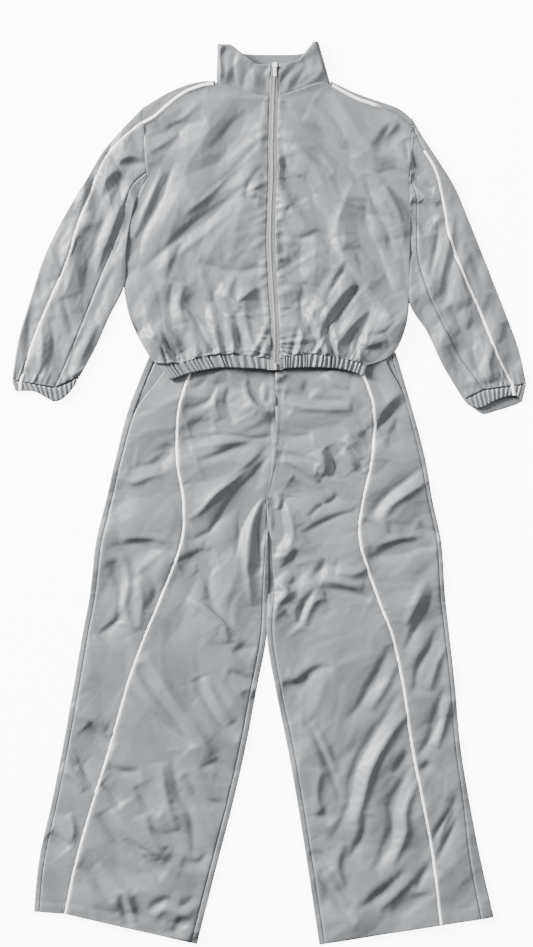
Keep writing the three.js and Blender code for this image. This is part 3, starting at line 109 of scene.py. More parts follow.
RIGHT_SLEEVE = {
    "outer": [(-222, 676), (-257, 640), (-291, 600), (-321, 550), (-360, 485), (-394, 415),
              (-417, 345), (-438, 275), (-450.5, 199)],
    "piping": [(-220.7, 652), (-251, 627), (-286, 589), (-309, 535), (-335, 467), (-357, 397),
               (-387, 330), (-414, 262), (-434.5, 197)],
    "underarm": [(-215.8, 562), (-238, 543), (-250, 515), (-256, 481), (-270, 440), (-296, 380),
                 (-321, 315), (-347, 250), (-375, 187)],
    "inner": [(-214.6, 553.5), (-223.0, 533), (-234.5, 508), (-243.5, 470), (-249.5, 425),
              (-253.5, 365), (-279, 312), (-303, 258), (-331, 206)],
}
LEFT_SLEEVE = {
    "outer": [(252.5, 655), (272, 622), (299, 581), (327, 535), (354, 470), (386, 390),
              (414, 318), (437, 256), (451, 193)],
    "piping": [(251.9, 644), (266, 611), (290.5, 570), (304, 520), (318, 447), (343, 378),
               (374, 311), (401, 240), (426.5, 190)],
    "underarm": [(247.8, 550), (256, 533), (260, 503), (259, 465), (261, 415), (277, 358),
                 (304, 300), (335, 240), (376, 183)],
    "inner": [(246.4, 541), (246.6, 522), (247, 495), (247, 450), (246.4, 395), (245.5, 335),
              (277, 283), (306, 222), (340, 166)],
}
BODY = {
    "right": [(-196, 228), (-214, 249), (-242, 305), (-253.5, 360), (-250.5, 425), (-239, 497),
              (-214.8, 553.5), (-217.8, 605), (-220.3, 650)],
    "zip": [(9.7, 238), (10.8, 262), (9.6, 310), (6, 365), (2.7, 430), (3.4, 497), (5.8, 553),
            (6.2, 625), (8.2, 697.4)],
    "left": [(172, 226), (217, 246), (240, 296), (246.3, 355), (247.8, 420), (248.2, 485),
             (247, 541), (249.3, 597), (251.3, 642)],
}
RIGHT_YOKE_LINE = [(-220.3, 650), (-201, 661), (-180, 679), (-160, 695.5), (-140, 707.5),
                   (-112, 716.5), (-95, 717.5), (-75, 714.5), (-60, 710.5), (-40, 703.6),
                   (-20, 699), (0, 697.4)]
LEFT_YOKE_LINE = [(16, 697.4), (35, 702.4), (60, 711), (75, 717), (96, 720.5), (112, 715),
                  (150, 694.5), (180, 683.5), (210, 672.5), (230, 662.5), (251.3, 642)]
RIGHT_SHOULDER = [(-221.7, 676), (-200, 690), (-175, 704.5), (-145, 716.5), (-118, 722.6),
                  (-94, 723.6)]
LEFT_SHOULDER = [(108, 723.5), (120, 717.5), (150, 703.5), (180, 692.5), (210, 682.5),
                 (230, 674), (252.2, 655)]
BACK_NECK = [(-90, 715), (-45, 712.2), (10, 709.8), (60, 712.2), (103, 716)]

# Collar strip from the zip round the back to the zip: seam x, seam y, rim x, rim y, turn
COLLAR = [
    (-0.6, 697.8, 3.8, 752, 90), (-20, 699.3, -20, 752, 90), (-40, 703.9, -36, 763, 90),
    (-60, 710.8, -52, 775, 90), (-75, 714.8, -66, 785.5, 90), (-84, 717.8, -81, 786.5, 90),
    (-89.5, 722, -87.5, 787.5, 135), (-92, 724.2, -90, 787, 180), (-89.5, 724.2, -87.5, 786, 225),
    (-84, 719, -81, 784, 270), (-45, 713, -45, 772, 270), (10, 710.4, 8, 770, 270),
    (60, 713, 58, 772, 270), (98, 719, 76, 786, 270), (103.5, 724.2, 83, 790, 225),
    (106, 724.4, 87, 790.5, 180), (103.5, 722.4, 83, 791.5, 135), (96, 721, 77, 790, 90),
    (75, 717.3, 64, 774, 90), (60, 711.3, 52, 760, 90), (35, 702.7, 33, 755.5, 90),
    (16.8, 697.8, 16.2, 753, 90),
]
RIGHT_HEM = {
    "gather": [(1.4, 237.7), (-20, 239.7), (-60, 244.7), (-110, 240.7), (-150, 231.5),
               (-178, 226), (-190, 226.5)],
    "edge": [(2.4, 217), (-20, 219), (-80, 221), (-110, 217), (-140, 211), (-160, 203.5),
             (-172, 200)],
}
LEFT_HEM = {
    "gather": [(18, 237.7), (60, 244.7), (100, 242.7), (140, 235), (160, 229.5), (169, 225.4)],
    "edge": [(19, 217), (35, 220), (80, 221.5), (120, 219.5), (145, 214), (163, 206.5)],
}
PLEAT_COLUMNS = 9  # columns of the grid in one pleat of the hem or a cuff
BACK_HEM = RIGHT_HEM["gather"][:1:-1] + LEFT_HEM["gather"][1:]
ZIP_LINE = [(10.6, 217), *BODY["zip"], (10, 753)]
RIGHT_LEG = {
    "outer": [(-208, 247), (-246, 150), (-269, 62), (-285, -8), (-303.5, -85), (-314, -175),
              (-327, -245), (-343, -340), (-361, -440), (-381, -540), (-403, -640), (-412, -731)],
    "outseam": [(-198, 241), (-234, 150), (-258, 64), (-275, -8), (-293.5, -85), (-304, -175),
                (-317, -245), (-333, -340), (-351, -440), (-371, -540), (-393, -640), (-402, -732)],
    "piping": [(-131, 231), (-157, 150), (-160, 60), (-149, -15), (-153, -85), (-188, -180),
               (-219, -255), (-250, -345), (-278, -445), (-309, -545), (-337, -645),
               (-356, -735.5)],
    "inner": [(9.3, 231), (11.5, 150), (8.5, 60), (-4.5, -10), (-1.2, -75), (-1, -165),
              (-4.2, -250), (-22, -345), (-41, -445), (-65, -550), (-91, -650), (-126, -788.5)],
}
LEFT_LEG = {
    "outer": [(222, 249), (251, 150), (274, 62), (286, -8), (302, -85), (308.5, -175),
              (316, -245), (326.5, -340), (335.5, -440), (351.5, -540), (371, -640), (394, -741)],
    "outseam": [(214, 244), (243, 150), (266, 62), (279, -8), (295, -85), (301, -175),
                (308.5, -245), (319, -340), (327, -440), (341, -540), (352.5, -640), (372, -745)],
    "piping": [(156, 231), (184, 150), (181, 60), (165, -15), (160.5, -85), (190, -178),
               (217, -250), (236.5, -340), (251, -440), (270.5, -540), (288.5, -640),
               (302, -755.5)],
    "inner": [(9.6, 231), (11.8, 150), (8.8, 60), (-4.6, -10), (-1.6, -75), (-1.4, -165),
              (-3.6, -250), (12, -345), (32.5, -445), (51, -550), (67, -650), (88, -790)],
}


@dataclass(frozen=True)
class Fold:
    """A crease in the cloth: its course, half width, height (negative for a trough) and lean.

    A lean above 0 makes the side to the left of the course the broader one.
    """

    course: Sequence[Point]
    width: float
    height: float
    lean: float = 0.0


NATURAL_LEAN = 0.6


def natural_lean(points: Sequence[Point], height: float) -> float:
    """Lean of a fold that slopes gently down to the upper left, or rises gently from there.

    Args:
        points: The fold's course.
        height: Its height, negative for a trough.

    Returns:
        The lean.
    """
    # How far the left of the course looks to the upper left
    leftwards = points[-1][0] - points[0][0] + points[-1][1] - points[0][1]
    return NATURAL_LEAN if leftwards * height > 0 else -NATURAL_LEAN


def folds(table: str) -> list[Fold]:
    """Folds from a table with one fold on each line.

    Args:
        table: Width, height, lean if it isn't the natural one, and after a bar the course's points.

    Returns:
        The folds in the same order.
    """
    found = []
    for row in table.strip().splitlines():
        sizes, course = row.split("|")
        width, height, *lean = (float(size) for size in sizes.split())
        points = [tuple(float(value) for value in point.split(",")) for point in course.split()]
        found.append(Fold(points, width, height, lean[0] if lean else natural_lean(points, height)))
    return found


JACKET_FOLDS = folds("""
    11 -4.6 -0.3 | -164,586 -180,545 -200,500 -220,460 -250,405
    10 4.8 0.2 | -185,572 -202,530 -222,485 -240,440
    11 -3.6 0.3 | 0,632 -40,590 -80,550 -125,512
    13 3.6 | -25,603 -70,560 -110,520 -150,490
    10 -4.4 0.3 | -42,538 -80,508 -120,478 -155,453 -185,425 -225,390
    14 3.4 0.2 | -60,500 -110,458 -160,420 -200,385
    7 -2.6 | -8,578 -35,545 -38,520 -20,512
    7 2.2 | -6,555 -25,535 -28,518
    10 -3 0.2 | -215,622 -180,634 -150,645 -110,655
    11 2.4 | -214,598 -188,612 -160,632
    15 -2.2 | -35,670 -70,640 -105,600
    13 -2.8 | -150,440 -168,405 -176,370
    8 -2.8 0.2 | -125,408 -98,398 -60,388 -30,392 2,404
    11 -3.4 -0.2 | -72,392 -97,345 -78,315 -54,298
    9 2.8 | -60,385 -70,350 -48,325
    11 -3 | -165,378 -174,335 -166,288
    9 2.6 | -150,372 -156,330 -150,300
    9 -4 | -150,345 -125,300 -105,262 -100,245
    8 -3 | -144,340 -112,302 -85,286 -64,258
    8 3.2 | -138,330 -118,292 -95,255
    8 2.6 | -64,330 -45,345 -22,364
    8 3.4 | -45,338 -38,288 -24,248
    9 -3.2 | -58,320 -55,285 -48,250
    10 -3.4 0.2 | -232,300 -200,275 -175,252 -138,245
    9 2.8 | -222,285 -190,258 -165,244
    9 2.6 | -196,300 -168,275 -150,250
    20 3.6 0.6 | 150,552 128,500 119,460 126,424
    18 5.6 0.6 | 120,448 130,418 165,372 196,335 216,308
    13 -4.4 -0.5 | 168,520 172,470 190,420 206,380 219,345
    13 -3 | 168,560 182,510 206,462 222,410
    12 2.8 | 200,540 222,500 236,450
    9 -3.4 | 183,602 198,625 214,648
    9 -3 | 186,594 208,622 232,652
    8 3 | 196,604 214,632 226,650
    8 -2.6 | 236,620 242,604 244,580
    9 -2.4 | 38,443 60,448 82,457 108,451
    9 3.6 0.3 | 12,384 50,375 75,352 99,330
    14 -3.4 | 62,372 56,330 64,275
    10 -4.6 0.2 | 168,368 140,340 112,298 97,258
    9 4 | 152,372 122,342 98,306 84,262
    9 -2.8 | 142,412 118,372 98,334
    8 3.2 | 176,324 146,296 114,254
    8 -2.8 | 156,290 144,274 132,252
    9 -3 | 172,278 200,281 228,308
    8 2.6 | 165,262 184,262 205,272
    8 -2.6 | 150,262 176,254 198,262
    8 2.6 | 60,262 56,290 62,312
    9 -2.2 | 30,560 60,545 75,520
    10 -2 | 25,480 40,505 62,520
    12 2 | 60,660 95,640 130,600
    13 -2.2 | 80,690 120,650 150,590
    12 -2 | 40,620 75,600 110,560
    12 2 | -120,690 -150,660 -190,645
""")

COLLAR_FOLDS = folds("""
    7 -4 0.2 | -12,752 -12,728 -14,703
    7 2 | -26,752 -27,728 -30,706
    12 -1.6 | -60,768 -62,745 -66,720
    11 1.6 | 40,752 42,730 45,712
    12 -1.8 | 62,768 66,745 70,722
    8 1.6 | -82,770 -84,745 -84,728
    9 -1.4 | 24,748 25,725 26,704
""")

RIGHT_SLEEVE_FOLDS = folds("""
    14 -4.4 0.2 | -252,560 -275,510 -298,450 -320,390 -336,328
    12 4.4 | -240,545 -262,500 -285,440 -308,375
    10 -3 | -362,345 -352,312 -344,275
    10 3 | -386,435 -374,405 -364,380
    9 2.8 | -402,300 -396,260 -404,212
    9 -2.6 | -385,310 -378,265 -388,210
    8 -2 | -216,576 -238,580 -258,574
    8 3 | -216,584 -240,592 -268,582
    9 -2 | -256,562 -272,545 -286,518
    9 2.8 | -262,570 -284,552 -296,520
    10 -2.6 | -300,560 -322,510 -338,455
    10 2.4 | -330,470 -350,430 -366,390
    9 -2.8 | -268,400 -292,352 -312,300
    8 2.6 | -300,300 -318,262 -335,225
    8 -2.8 | -320,290 -342,250 -352,212
    8 -2.4 | -410,330 -422,290 -420,240
""")

LEFT_SLEEVE_FOLDS = folds("""
    8 -3.4 | 249,560 266,540 290,533
    8 3.2 | 249,545 272,522 298,508
    8 -3.8 | 249,513 266,503 296,482
    9 -3.6 | 250,498 264,482 272,452
    12 3.6 | 326,500 316,440 302,380 296,332
    11 -3.4 | 300,482 292,430 282,378
    12 -3.2 | 362,332 352,280 360,238 374,204
    10 3.2 | 392,264 384,226 390,196
    10 -2.8 | 345,440 360,400 378,350
    9 2.6 | 328,415 338,370 352,330
    9 -2.8 | 318,330 336,290 350,250
    8 2.8 | 300,300 318,265 338,225
    8 -2.8 | 410,300 424,262 432,220
    8 -2.6 | 316,262 330,228 352,198
""")

RIGHT_LEG_FOLDS = folds("""
    10 -4.2 0.2 | -172,88 -178,70 -190,58 -210,50 -246,42
    11 3 | -262,34 -240,20 -212,30 -186,38
    12 -3.2 0.2 | -162,-100 -200,-98 -235,-90 -292,-96
    11 2.8 | -170,-84 -215,-76 -262,-78
    12 -2.4 | -286,2 -260,-8 -282,-26
    10 3.6 | -258,-100 -246,-150 -253,-200 -234,-242
    10 -3.2 | -276,-118 -260,-165 -266,-225
    11 -3.2 | -224,-132 -200,-165 -212,-205
    9 2.6 | -232,-148 -222,-185 -230,-238
    9 -3 | -250,-203 -274,-229 -300,-250
    10 3.2 0.2 | -345,-365 -330,-385 -308,-396 -283,-410
    9 -3.4 | -316,-402 -292,-428 -270,-438
    9 -3.6 | -343,-480 -330,-474 -320,-496 -303,-522
    9 2.8 | -366,-484 -345,-494 -322,-520
    9 -2.6 | -382,-590 -366,-604 -350,-622
    9 2.4 | -350,-560 -342,-590 -352,-612
    10 -4.2 0.2 | -152,148 -128,152 -105,164 -90,190 -66,198
    9 -2.8 | -148,184 -125,188 -106,204
    12 -2.2 | -142,118 -120,124 -98,128
    9 -3 | -156,95 -125,97 -85,103 -20,97 10,104
    12 2.6 | -140,78 -95,88 -40,92 4,96
    11 -3.2 | -125,55 -90,68 -55,84 8,102
    9 -2.4 | -72,20 -40,45 -18,64 5,88
    11 -5.4 -0.4 | -148,-82 -110,-72 -84,-38 -60,-4 -34,18 -14,50 8,76
    11 4.8 0.2 | -146,-46 -120,-30 -96,-2 -52,34 -14,76
    9 -4.6 0.4 | -1,-4 -12,-36 -20,-84 -14,-140
    8 4.2 0.4 | -6,-2 -30,-52 -38,-120 -30,-196
    8 -3.4 -0.4 | -12,0 -46,-48 -58,-112
    7 3.2 0.3 | -2,-60 -9,-120 -8,-190
    9 4.6 | -38,208 -40,184 -28,158 -8,146 8,140
    9 -3.4 | -26,210 -20,176 -6,160 2,190
    12 -3 | -64,196 -76,160 -60,124
    9 2.6 | -88,190 -96,158 -84,130
    9 -2.6 | -160,-118 -130,-108 -95,-98
    10 -4.2 0.3 | -126,-119 -110,-130 -104,-180 -84,-216 -63,-224
    9 4 | -144,-182 -112,-200 -80,-226 -72,-262
    11 4.4 -0.2 | -218,-278 -192,-318 -162,-366 -125,-415 -100,-458
    10 -3.8 | -232,-300 -202,-348 -168,-392 -128,-445
    10 -3 | -246,-340 -212,-378 -160,-420 -134,-442
    10 -3.6 | -130,-323 -108,-368 -82,-408 -54,-430
    10 3.2 | -112,-320 -92,-362 -62,-400
    8 -2.6 | -62,-280 -44,-268 -24,-274
    8 -2.6 | -72,-310 -40,-322 -24,-338
    8 2.4 | -56,-350 -38,-342 -26,-356
    10 -5 0.3 | -298,-558 -272,-600 -238,-628 -205,-652 -182,-668
    10 4 | -276,-552 -250,-588 -215,-618 -176,-640
    9 -3.6 | -146,-490 -128,-520 -108,-540 -74,-542
    8 -3 | -122,-482 -94,-470 -78,-480 -58,-492
    13 -3.2 | -170,-450 -160,-525 -138,-565 -130,-642
    11 2.8 | -188,-470 -180,-530 -160,-590
    9 -2.6 | -152,-640 -126,-646 -106,-626
    9 -2.8 | -284,-474 -258,-486 -224,-484
    8 -4 | -296,-506 -276,-526 -261,-548
    11 -3.4 | -336,-650 -308,-668 -292,-692 -273,-714
    10 3 | -302,-648 -262,-686 -238,-732
    8 -4 | -212,-734 -196,-716 -176,-710 -154,-722 -114,-692
    7 3 | -205,-745 -180,-724 -150,-736 -120,-714
    6 -2.6 | -262,-700 -246,-758
    6 2.6 | -250,-690 -234,-752
    6 -2.6 | -154,-738 -166,-772
    6 2.4 | -144,-754 -129,-778
    10 2.6 | -218,-560 -205,-600 -180,-620
    10 -2.6 | -232,-510 -215,-545 -190,-560
""")

LEFT_LEG_FOLDS = folds("""
    9 -4 0.2 | 28,177 60,168 95,163 142,163
    9 3 | 18,162 60,152 105,148 146,150
    9 3.4 | 8,197 20,205 32,216
    11 -2.6 | 70,198 64,184 74,170
    10 2.8 | 100,215 112,195 140,185
    10 -2.4 | 12,182 14,158 36,140
    9 -2.4 | 14,105 45,100 76,104
    9 -2.4 | 14,70 50,66 86,54
    9 3.4 | 20,60 50,50 90,22
    9 -3.4 | 38,27 66,8 98,-18
    9 -4.2 | 100,82 109,62 112,44 109,26
    8 3.4 | 88,78 96,55 98,32
    6 2.8 | 127,76 140,62 154,46
    6 2.8 | 133,100 146,82 161,58
    6 -2.6 | 140,84 152,66 166,40
    8 -2.8 | 160,106 172,92 181,80
    9 -3 | 67,-43 88,-24 112,-11 122,2
    11 -3.4 | 58,-71 90,-52 120,-40 158,-28
    9 -4.6 -0.4 | 2,-4 13,-30 17,-66 8,-112
    8 3.2 0.3 | 10,2 30,-26 42,-64 34,-104
    8 -3.4 0.3 | 10,-96 4,-140 8,-200
    8 -3.4 | 26,0 22,-40 22,-90
    8 3 | 46,-98 24,-110 6,-114
    8 -3.4 | 44,-96 38,-120 22,-134 8,-150
    8 3.6 | 8,-152 28,-164 32,-176 16,-192 8,-222
    10 -3.6 | 42,-126 46,-150 30,-166
    8 -4.6 | 50,-232 55,-212 62,-192 84,-163
    8 3.4 | 62,-232 68,-208 80,-188 100,-182
    8 -3 | 24,-205 40,-220 52,-232
    9 -3.2 | 82,-165 122,-168 150,-173 178,-186
    9 2.8 | 90,-150 125,-155 165,-165
    9 -2.8 | 101,-114 90,-132 74,-151
    9 2.8 | 118,-136 150,-140 177,-124
    9 -3.2 | 24,-331 50,-335 72,-310 112,-302
    9 2.8 | 28,-318 55,-320 84,-296
    9 -3.4 | 58,-406 76,-412 90,-446 108,-490 128,-542
    8 2.8 | 74,-398 98,-440 118,-488
    12 -5.2 0.3 | 232,-344 205,-388 165,-452 146,-500 140,-546 106,-614
    11 4.4 | 246,-378 214,-420 180,-480 163,-540 150,-580
    12 -3.2 | 212,-264 190,-312 160,-365 138,-398
    11 2.8 | 226,-290 204,-336 176,-380
    8 -3 | 246,-449 230,-470 217,-492
    10 -4.6 0.2 | 253,-474 228,-514 214,-548 216,-586 196,-642 178,-662
    9 3.6 | 262,-500 240,-550 238,-600 212,-655
    9 -3.2 | 242,-658 210,-685 180,-710 148,-731
    8 2.6 | 255,-672 222,-702 190,-728
    8 -3 | 286,-644 266,-670 257,-692
    8 -3 | 292,-698 250,-712 213,-736
    7 -2.8 | 70,-630 92,-633 111,-657
    8 -3.2 | 84,-663 105,-695 125,-725 152,-751
    7 2.8 | 98,-660 118,-692 140,-722
    7 -2.6 | 88,-558 98,-566 107,-578
    10 2.6 | 92,-480 84,-520 90,-560
    10 -2.8 | 170,-560 162,-600 140,-640
    10 2.8 | 132,-610 120,-650 132,-690
    9 -3.6 | 186,114 201,126 216,146 244,164
    9 2.8 | 192,138 210,160 232,180
    10 -2.6 | 226,131 217,104 209,76
    10 -4.6 0.2 | 180,-42 192,-18 214,3 238,22 277,52
    10 3.6 | 196,-48 216,-18 248,4 282,26
    9 -2.8 | 164,-44 186,-56 208,-70 213,-46
    10 -4.4 0.2 | 174,-116 200,-104 242,-97 296,-91
    9 3.2 | 182,-94 220,-80 272,-72
    8 -2.8 | 261,-54 282,-64 301,-73
    10 -3.4 | 291,-160 274,-202 255,-237 239,-277
    9 3 | 276,-150 256,-196 238,-232
    10 -3.4 | 301,-229 280,-270 262,-302 254,-352
    9 2.8 | 310,-262 294,-300 280,-345
    10 -4.4 0.2 | 311,-334 296,-372 288,-412 274,-442 257,-464
    9 3.4 | 318,-356 306,-405 292,-446
    8 -3.2 | 331,-529 314,-560 295,-590 286,-610
    8 -2.8 | 331,-567 315,-600 292,-647
    8 2.8 | 322,-545 306,-580 296,-612
    8 -2.8 | 264,-486 274,-478 283,-468
""")


def curve_points(points: Sequence[Sequence[float]], count: int) -> Array:
    """Points evenly along a smooth curve through a table's points, by their order.

    Args:
        points: The table's points.
        count: Number of steps along the curve.

    Returns:
        An array of count + 1 points.
    """
    table = np.asarray(points, float)
    last = len(table) - 1
    place = np.linspace(0.0, last, count + 1)
    i = np.minimum(place.astype(int), last - 1)
    t = (place - i)[:, None]
    before, here = table[np.maximum(i - 1, 0)], table[i]
    after, beyond = table[i + 1], table[np.minimum(i + 2, last)]
    v0, v1 = (after - before) / 2, (beyond - here) / 2
    cubic = (2 * (here - after) + v0 + v1) * t**3
    return cubic + (3 * (after - here) - 2 * v0 - v1) * t**2 + v0 * t + here


def run_along(line: Array) -> Array:
    """Distance from a line's start to each of its points."""
    return np.concatenate([[0], np.cumsum(np.linalg.norm(np.diff(line, axis=0), axis=1))])


def points_at(line: Array, run: Array, places: Array) -> Array:
    """The points of a line at some distances, where `run` is the distance to each of its own."""
    return np.column_stack([np.interp(places, run, line[:, k]) for k in range(line.shape[1])])


def evenly(points: Sequence[Point], count: int) -> Array:
    """Points along a smooth curve at equal distances.

    Args:
        points: The table's points.
        count: Number of steps along the curve.

    Returns:
        An array of count + 1 points.
    """
    line = curve_points(points, 40 * len(points))
    run = run_along(line)
    return points_at(line, run, np.linspace(0, run[-1], count + 1))


def edge_rows(points: Sequence[Point], rows: int, corner: int = 0) -> Array:
    """One edge of a table of sections, with a sharp corner at one section.

    Args:
        points: The edge's point at each section.
        rows: Number of rows.
        corner: The section with a corner, 0 for none.

    Returns:
        An array of rows + 1 points.
    """
    if corner == 0:
        return curve_points(points, rows)
    before = round(rows * corner / (len(points) - 1))
    head = curve_points(points[: corner + 1], before)
    return np.vstack([head[:-1], curve_points(points[corner:], rows - before)])


def height_of_line(points: Sequence[Point], x: Array) -> Array:
    """Height on the page of a smooth line whose x rises or falls all along it.

    Args:
        points: The line's points.
        x: Where to read it.

    Returns:
        The line's y at each x.
    """
    line = curve_points(points, len(points) * 8)
    if line[0, 0] > line[-1, 0]:
        line = line[::-1]
    return np.interp(x, line[:, 0], line[:, 1])


def smooth(t: Array) -> Array:
    """A share from 0 to 1 that starts and ends level."""
    clamped = np.clip(t, 0.0, 1.0)
    return clamped * clamped * (3 - 2 * clamped)


def mix(a: Array, b: Array, t: Array) -> Array:
    """The value a share t of the way from a to b."""
    return a + (b - a) * t


def headings(start: Array, end: Array) -> Array:
    """Unit vectors from each start to each end point."""
    way = end - start
    return way / np.linalg.norm(way, axis=-1, keepdims=True)


def plan_across(lines: Sequence[Array], seams: Sequence[int]) -> Array:
    """Plan of a piece whose columns lie evenly between its edges and seams.

    Args:
        lines: Lines along the piece, from the outer edge to the inner one, (rows, 2) each.
        seams: The column of each line after the first.

    Returns:
        The plan, (rows, columns, 2).
    """
    strips, at = [], 0
    for k, column in enumerate(seams):
        end = -1 if k < len(seams) - 1 else None
        share = np.linspace(0, 1, column - at + 1)[None, :end, None]
        strips.append(mix(lines[k][:, None], lines[k + 1][:, None], share))
        at = column
    return np.concatenate(strips, axis=1)


@dataclass(frozen=True)
class Nearest:
    """Distance to a line, share along it, and side (1 to the left of its course)."""

    distance: Array
    along: Array
    side: Array


def nearest_on_line(points: Array, line: Array) -> Nearest:
    """How each point lies to a line.

    Args:
        points: Points of the plan, (n, 2).
        line: Points of the line, (m, 2).

    Returns:
        The nearest place on the line for each point.
    """
    best = np.full(len(points), np.inf)
    along = np.zeros(len(points))
    side = np.ones(len(points))
    for k in range(len(line) - 1):
        step = line[k + 1] - line[k]
        offset = points - line[k]
        t = np.clip(offset @ step / (step @ step), 0.0, 1.0)
        gap = offset - t[:, None] * step
        distance = np.hypot(gap[:, 0], gap[:, 1])
        closer = distance < best
        best = np.where(closer, distance, best)
        along = np.where(closer, (k + t) / (len(line) - 1), along)
        turn = step[0] * offset[:, 1] - step[1] * offset[:, 0]
        side = np.where(closer, np.where(turn >= 0, 1.0, -1.0), side)
    return Nearest(best, along, side)


# Links of the settling grid: rows down, columns across, stiffness
LINKS = ((0, 1, 1.0), (1, 0, 1.0), (1, 1, 0.35), (1, -1, 0.35), (0, 2, 0.1), (2, 0, 0.1))
MOST_RISE = 7.5  # height that a fold may reach above the loft
CALM_CELLS = 6.0  # cells from a tied row or column over which the folds grow to their full height
SETTLE_TO_LOFT = 0.003  # share of its height above the loft that a point loses in each round

FOLD_STEPS = 10
FOLD_REACH = 9  # how many of its half widths a fold is felt over
FOLD_TIP = 1.9  # radius that rounds a crease's crest
FOLD_BROADER = 1.3  # how much broader the cloth makes a fold than its table says
LEAST_FOLD = 5.0  # least half width of a fold
FOLD_TAPER = 0.8  # below 1 the ends of a fold are blunter
FOLD_FALL = 1.1  # 1 for straight sides, 2 for round ones
KEPT_SHARE = 0.5  # share of the drawn creases that stays crisp when the cloth has settled


def fold_height(creases: Sequence[Fold], points: Array) -> Array:
    """Height that a table of folds adds at each point.

    Args:
        creases: The folds.
        points: Points of the plan, (n, 2).

    Returns:
        The heights, (n,).
    """
    height = np.zeros(len(points))
    for crease in creases:
        line = curve_points(crease.course, FOLD_STEPS)
        margin = FOLD_REACH * crease.width
        low, high = line.min(0) - margin, line.max(0) + margin
        near = np.all((points > low) & (points < high), axis=1)
        if not near.any():
            continue
        place = nearest_on_line(points[near], line)
        width = crease.width * (1 + crease.lean * place.side) * FOLD_BROADER
        away = np.sqrt(place.distance**2 + FOLD_TIP**2) - FOLD_TIP
        width = np.maximum(width, LEAST_FOLD)
        fade = np.clip(np.sin(math.pi * place.along), 0.0, 1.0) ** FOLD_TAPER
        height[near] += crease.height * fade * np.exp(-((away / width) ** FOLD_FALL))
    return height


def crowned_loft(points: Array, edges: Sequence[Array]) -> Array:
    """Height of two layers of cloth that rise from their folded edges towards the middle."""
    inside = np.min([nearest_on_line(points, edge).distance for edge in edges], axis=0)
    return LOFT + CROWN * (1 - np.exp(-inside / CROWN_REACH))


def side_seam(name: str) -> Array:
    """The jacket's side below the armhole."""
    return curve_points(BODY[name][: ARMPIT + 1], 24)


JACKET_EDGES = [
    *(curve_points(sleeve[edge], 30)
      for sleeve in (RIGHT_SLEEVE, LEFT_SLEEVE) for edge in ("outer", "inner")),
    *(curve_points(shoulder, 16) for shoulder in (RIGHT_SHOULDER, LEFT_SHOULDER)),
    side_seam("right"), side_seam("left"),
]
LEG_EDGES = [
    *(curve_points(leg["outer"], 40) for leg in (RIGHT_LEG, LEFT_LEG)),
    *(curve_points(leg["inner"][CROTCH:], 30) for leg in (RIGHT_LEG, LEFT_LEG)),
]


class Side(Enum):
    """The wearer's right and left."""

    RIGHT = "right"
    LEFT = "left"

    @property
    def outwards(self) -> int:
        """The sign of x that leads away from the zip."""
        return -1 if self is Side.RIGHT else 1


SLEEVE_ENDS = {  # how the sleeve's piping runs on over the cuff
    Side.RIGHT: [(-434.9, 193.5), (-435.3, 181)],
    Side.LEFT: [(427, 186.5), (430, 172.4)],
}
YOKE_LINES = {Side.RIGHT: RIGHT_YOKE_LINE, Side.LEFT: LEFT_YOKE_LINE}
SHOULDERS = {Side.RIGHT: RIGHT_SHOULDER, Side.LEFT: LEFT_SHOULDER}
HEMS = {Side.RIGHT: RIGHT_HEM, Side.LEFT: LEFT_HEM}
PIPED_TO = {Side.RIGHT: PIPED_RIGHT, Side.LEFT: PIPED_LEFT}


class Garment(Enum):
    """Which loft a piece of cloth follows."""

    JACKET = "jacket"
    SLEEVE = "sleeve"
    LEG = "leg"

    def under(self, points: Array) -> Array:
        """Height of the lower layer's underside.

        Args:
            points: Points of the plan, (n, 2).

        Returns:
            The heights, (n,).
        """
        if self is Garment.JACKET:
            return LIFT * smooth((LIFT_FROM - points[:, 1]) / (LIFT_FROM - LIFT_TO))
        return np.zeros(len(points))

    def top(self, points: Array) -> Array:
        """Height of the upper layer's surface, without its folds.

        Args:
            points: Points of the plan, (n, 2).

        Returns:
            The heights, (n,).
        """
        if self is Garment.LEG:
            pressed = smooth((points[:, 1] - PRESSED_FROM) / (PRESSED_TO - PRESSED_FROM))
            return mix(crowned_loft(points, LEG_EDGES), PRESSED_LOFT, pressed)
        loft = crowned_loft(points, JACKET_EDGES)
        if self is Garment.SLEEVE:
            return loft
        rise = COLLAR_RISE * smooth((points[:, 1] - COLLAR_FROM) / (COLLAR_TO - COLLAR_FROM))
        return self.under(points) + loft + rise

    def grid_top(self, plan: Array) -> Array:
        """The same height for a grid's plan, (rows, columns, 2)."""
        return self.top(plan.reshape(-1, 2)).reshape(plan.shape[:2])

    def grid_under(self, plan: Array) -> Array:
        """The underside's height for a grid's plan, (rows, columns, 2)."""
        return self.under(plan.reshape(-1, 2)).reshape(plan.shape[:2])


def blurred(values: Array, radius: float) -> Array:
    """Smooths a grid's values, with its edges repeated.

    Args:
        values: The values, (rows, columns).
        radius: How far they spread, in cells.

    Returns:
        The smoothed values, (rows, columns).
    """
    reach = max(1, int(3 * radius))
    steps = np.arange(-reach, reach + 1)
    kernel = np.exp(-0.5 * (steps / radius) ** 2)
    kernel /= kernel.sum()
    padded = np.pad(values, reach, mode="edge")
    rows = sum(k * padded[:, i : i + values.shape[1]] for i, k in enumerate(kernel))
    return sum(k * rows[i : i + values.shape[0]] for i, k in enumerate(kernel))


def soft_noise(shape: tuple[int, int], radius: float, rng: np.random.Generator) -> Array:
    """Smooth random values with a spread of 1."""
    values = blurred(rng.standard_normal(shape), radius)
    return values / values.std()


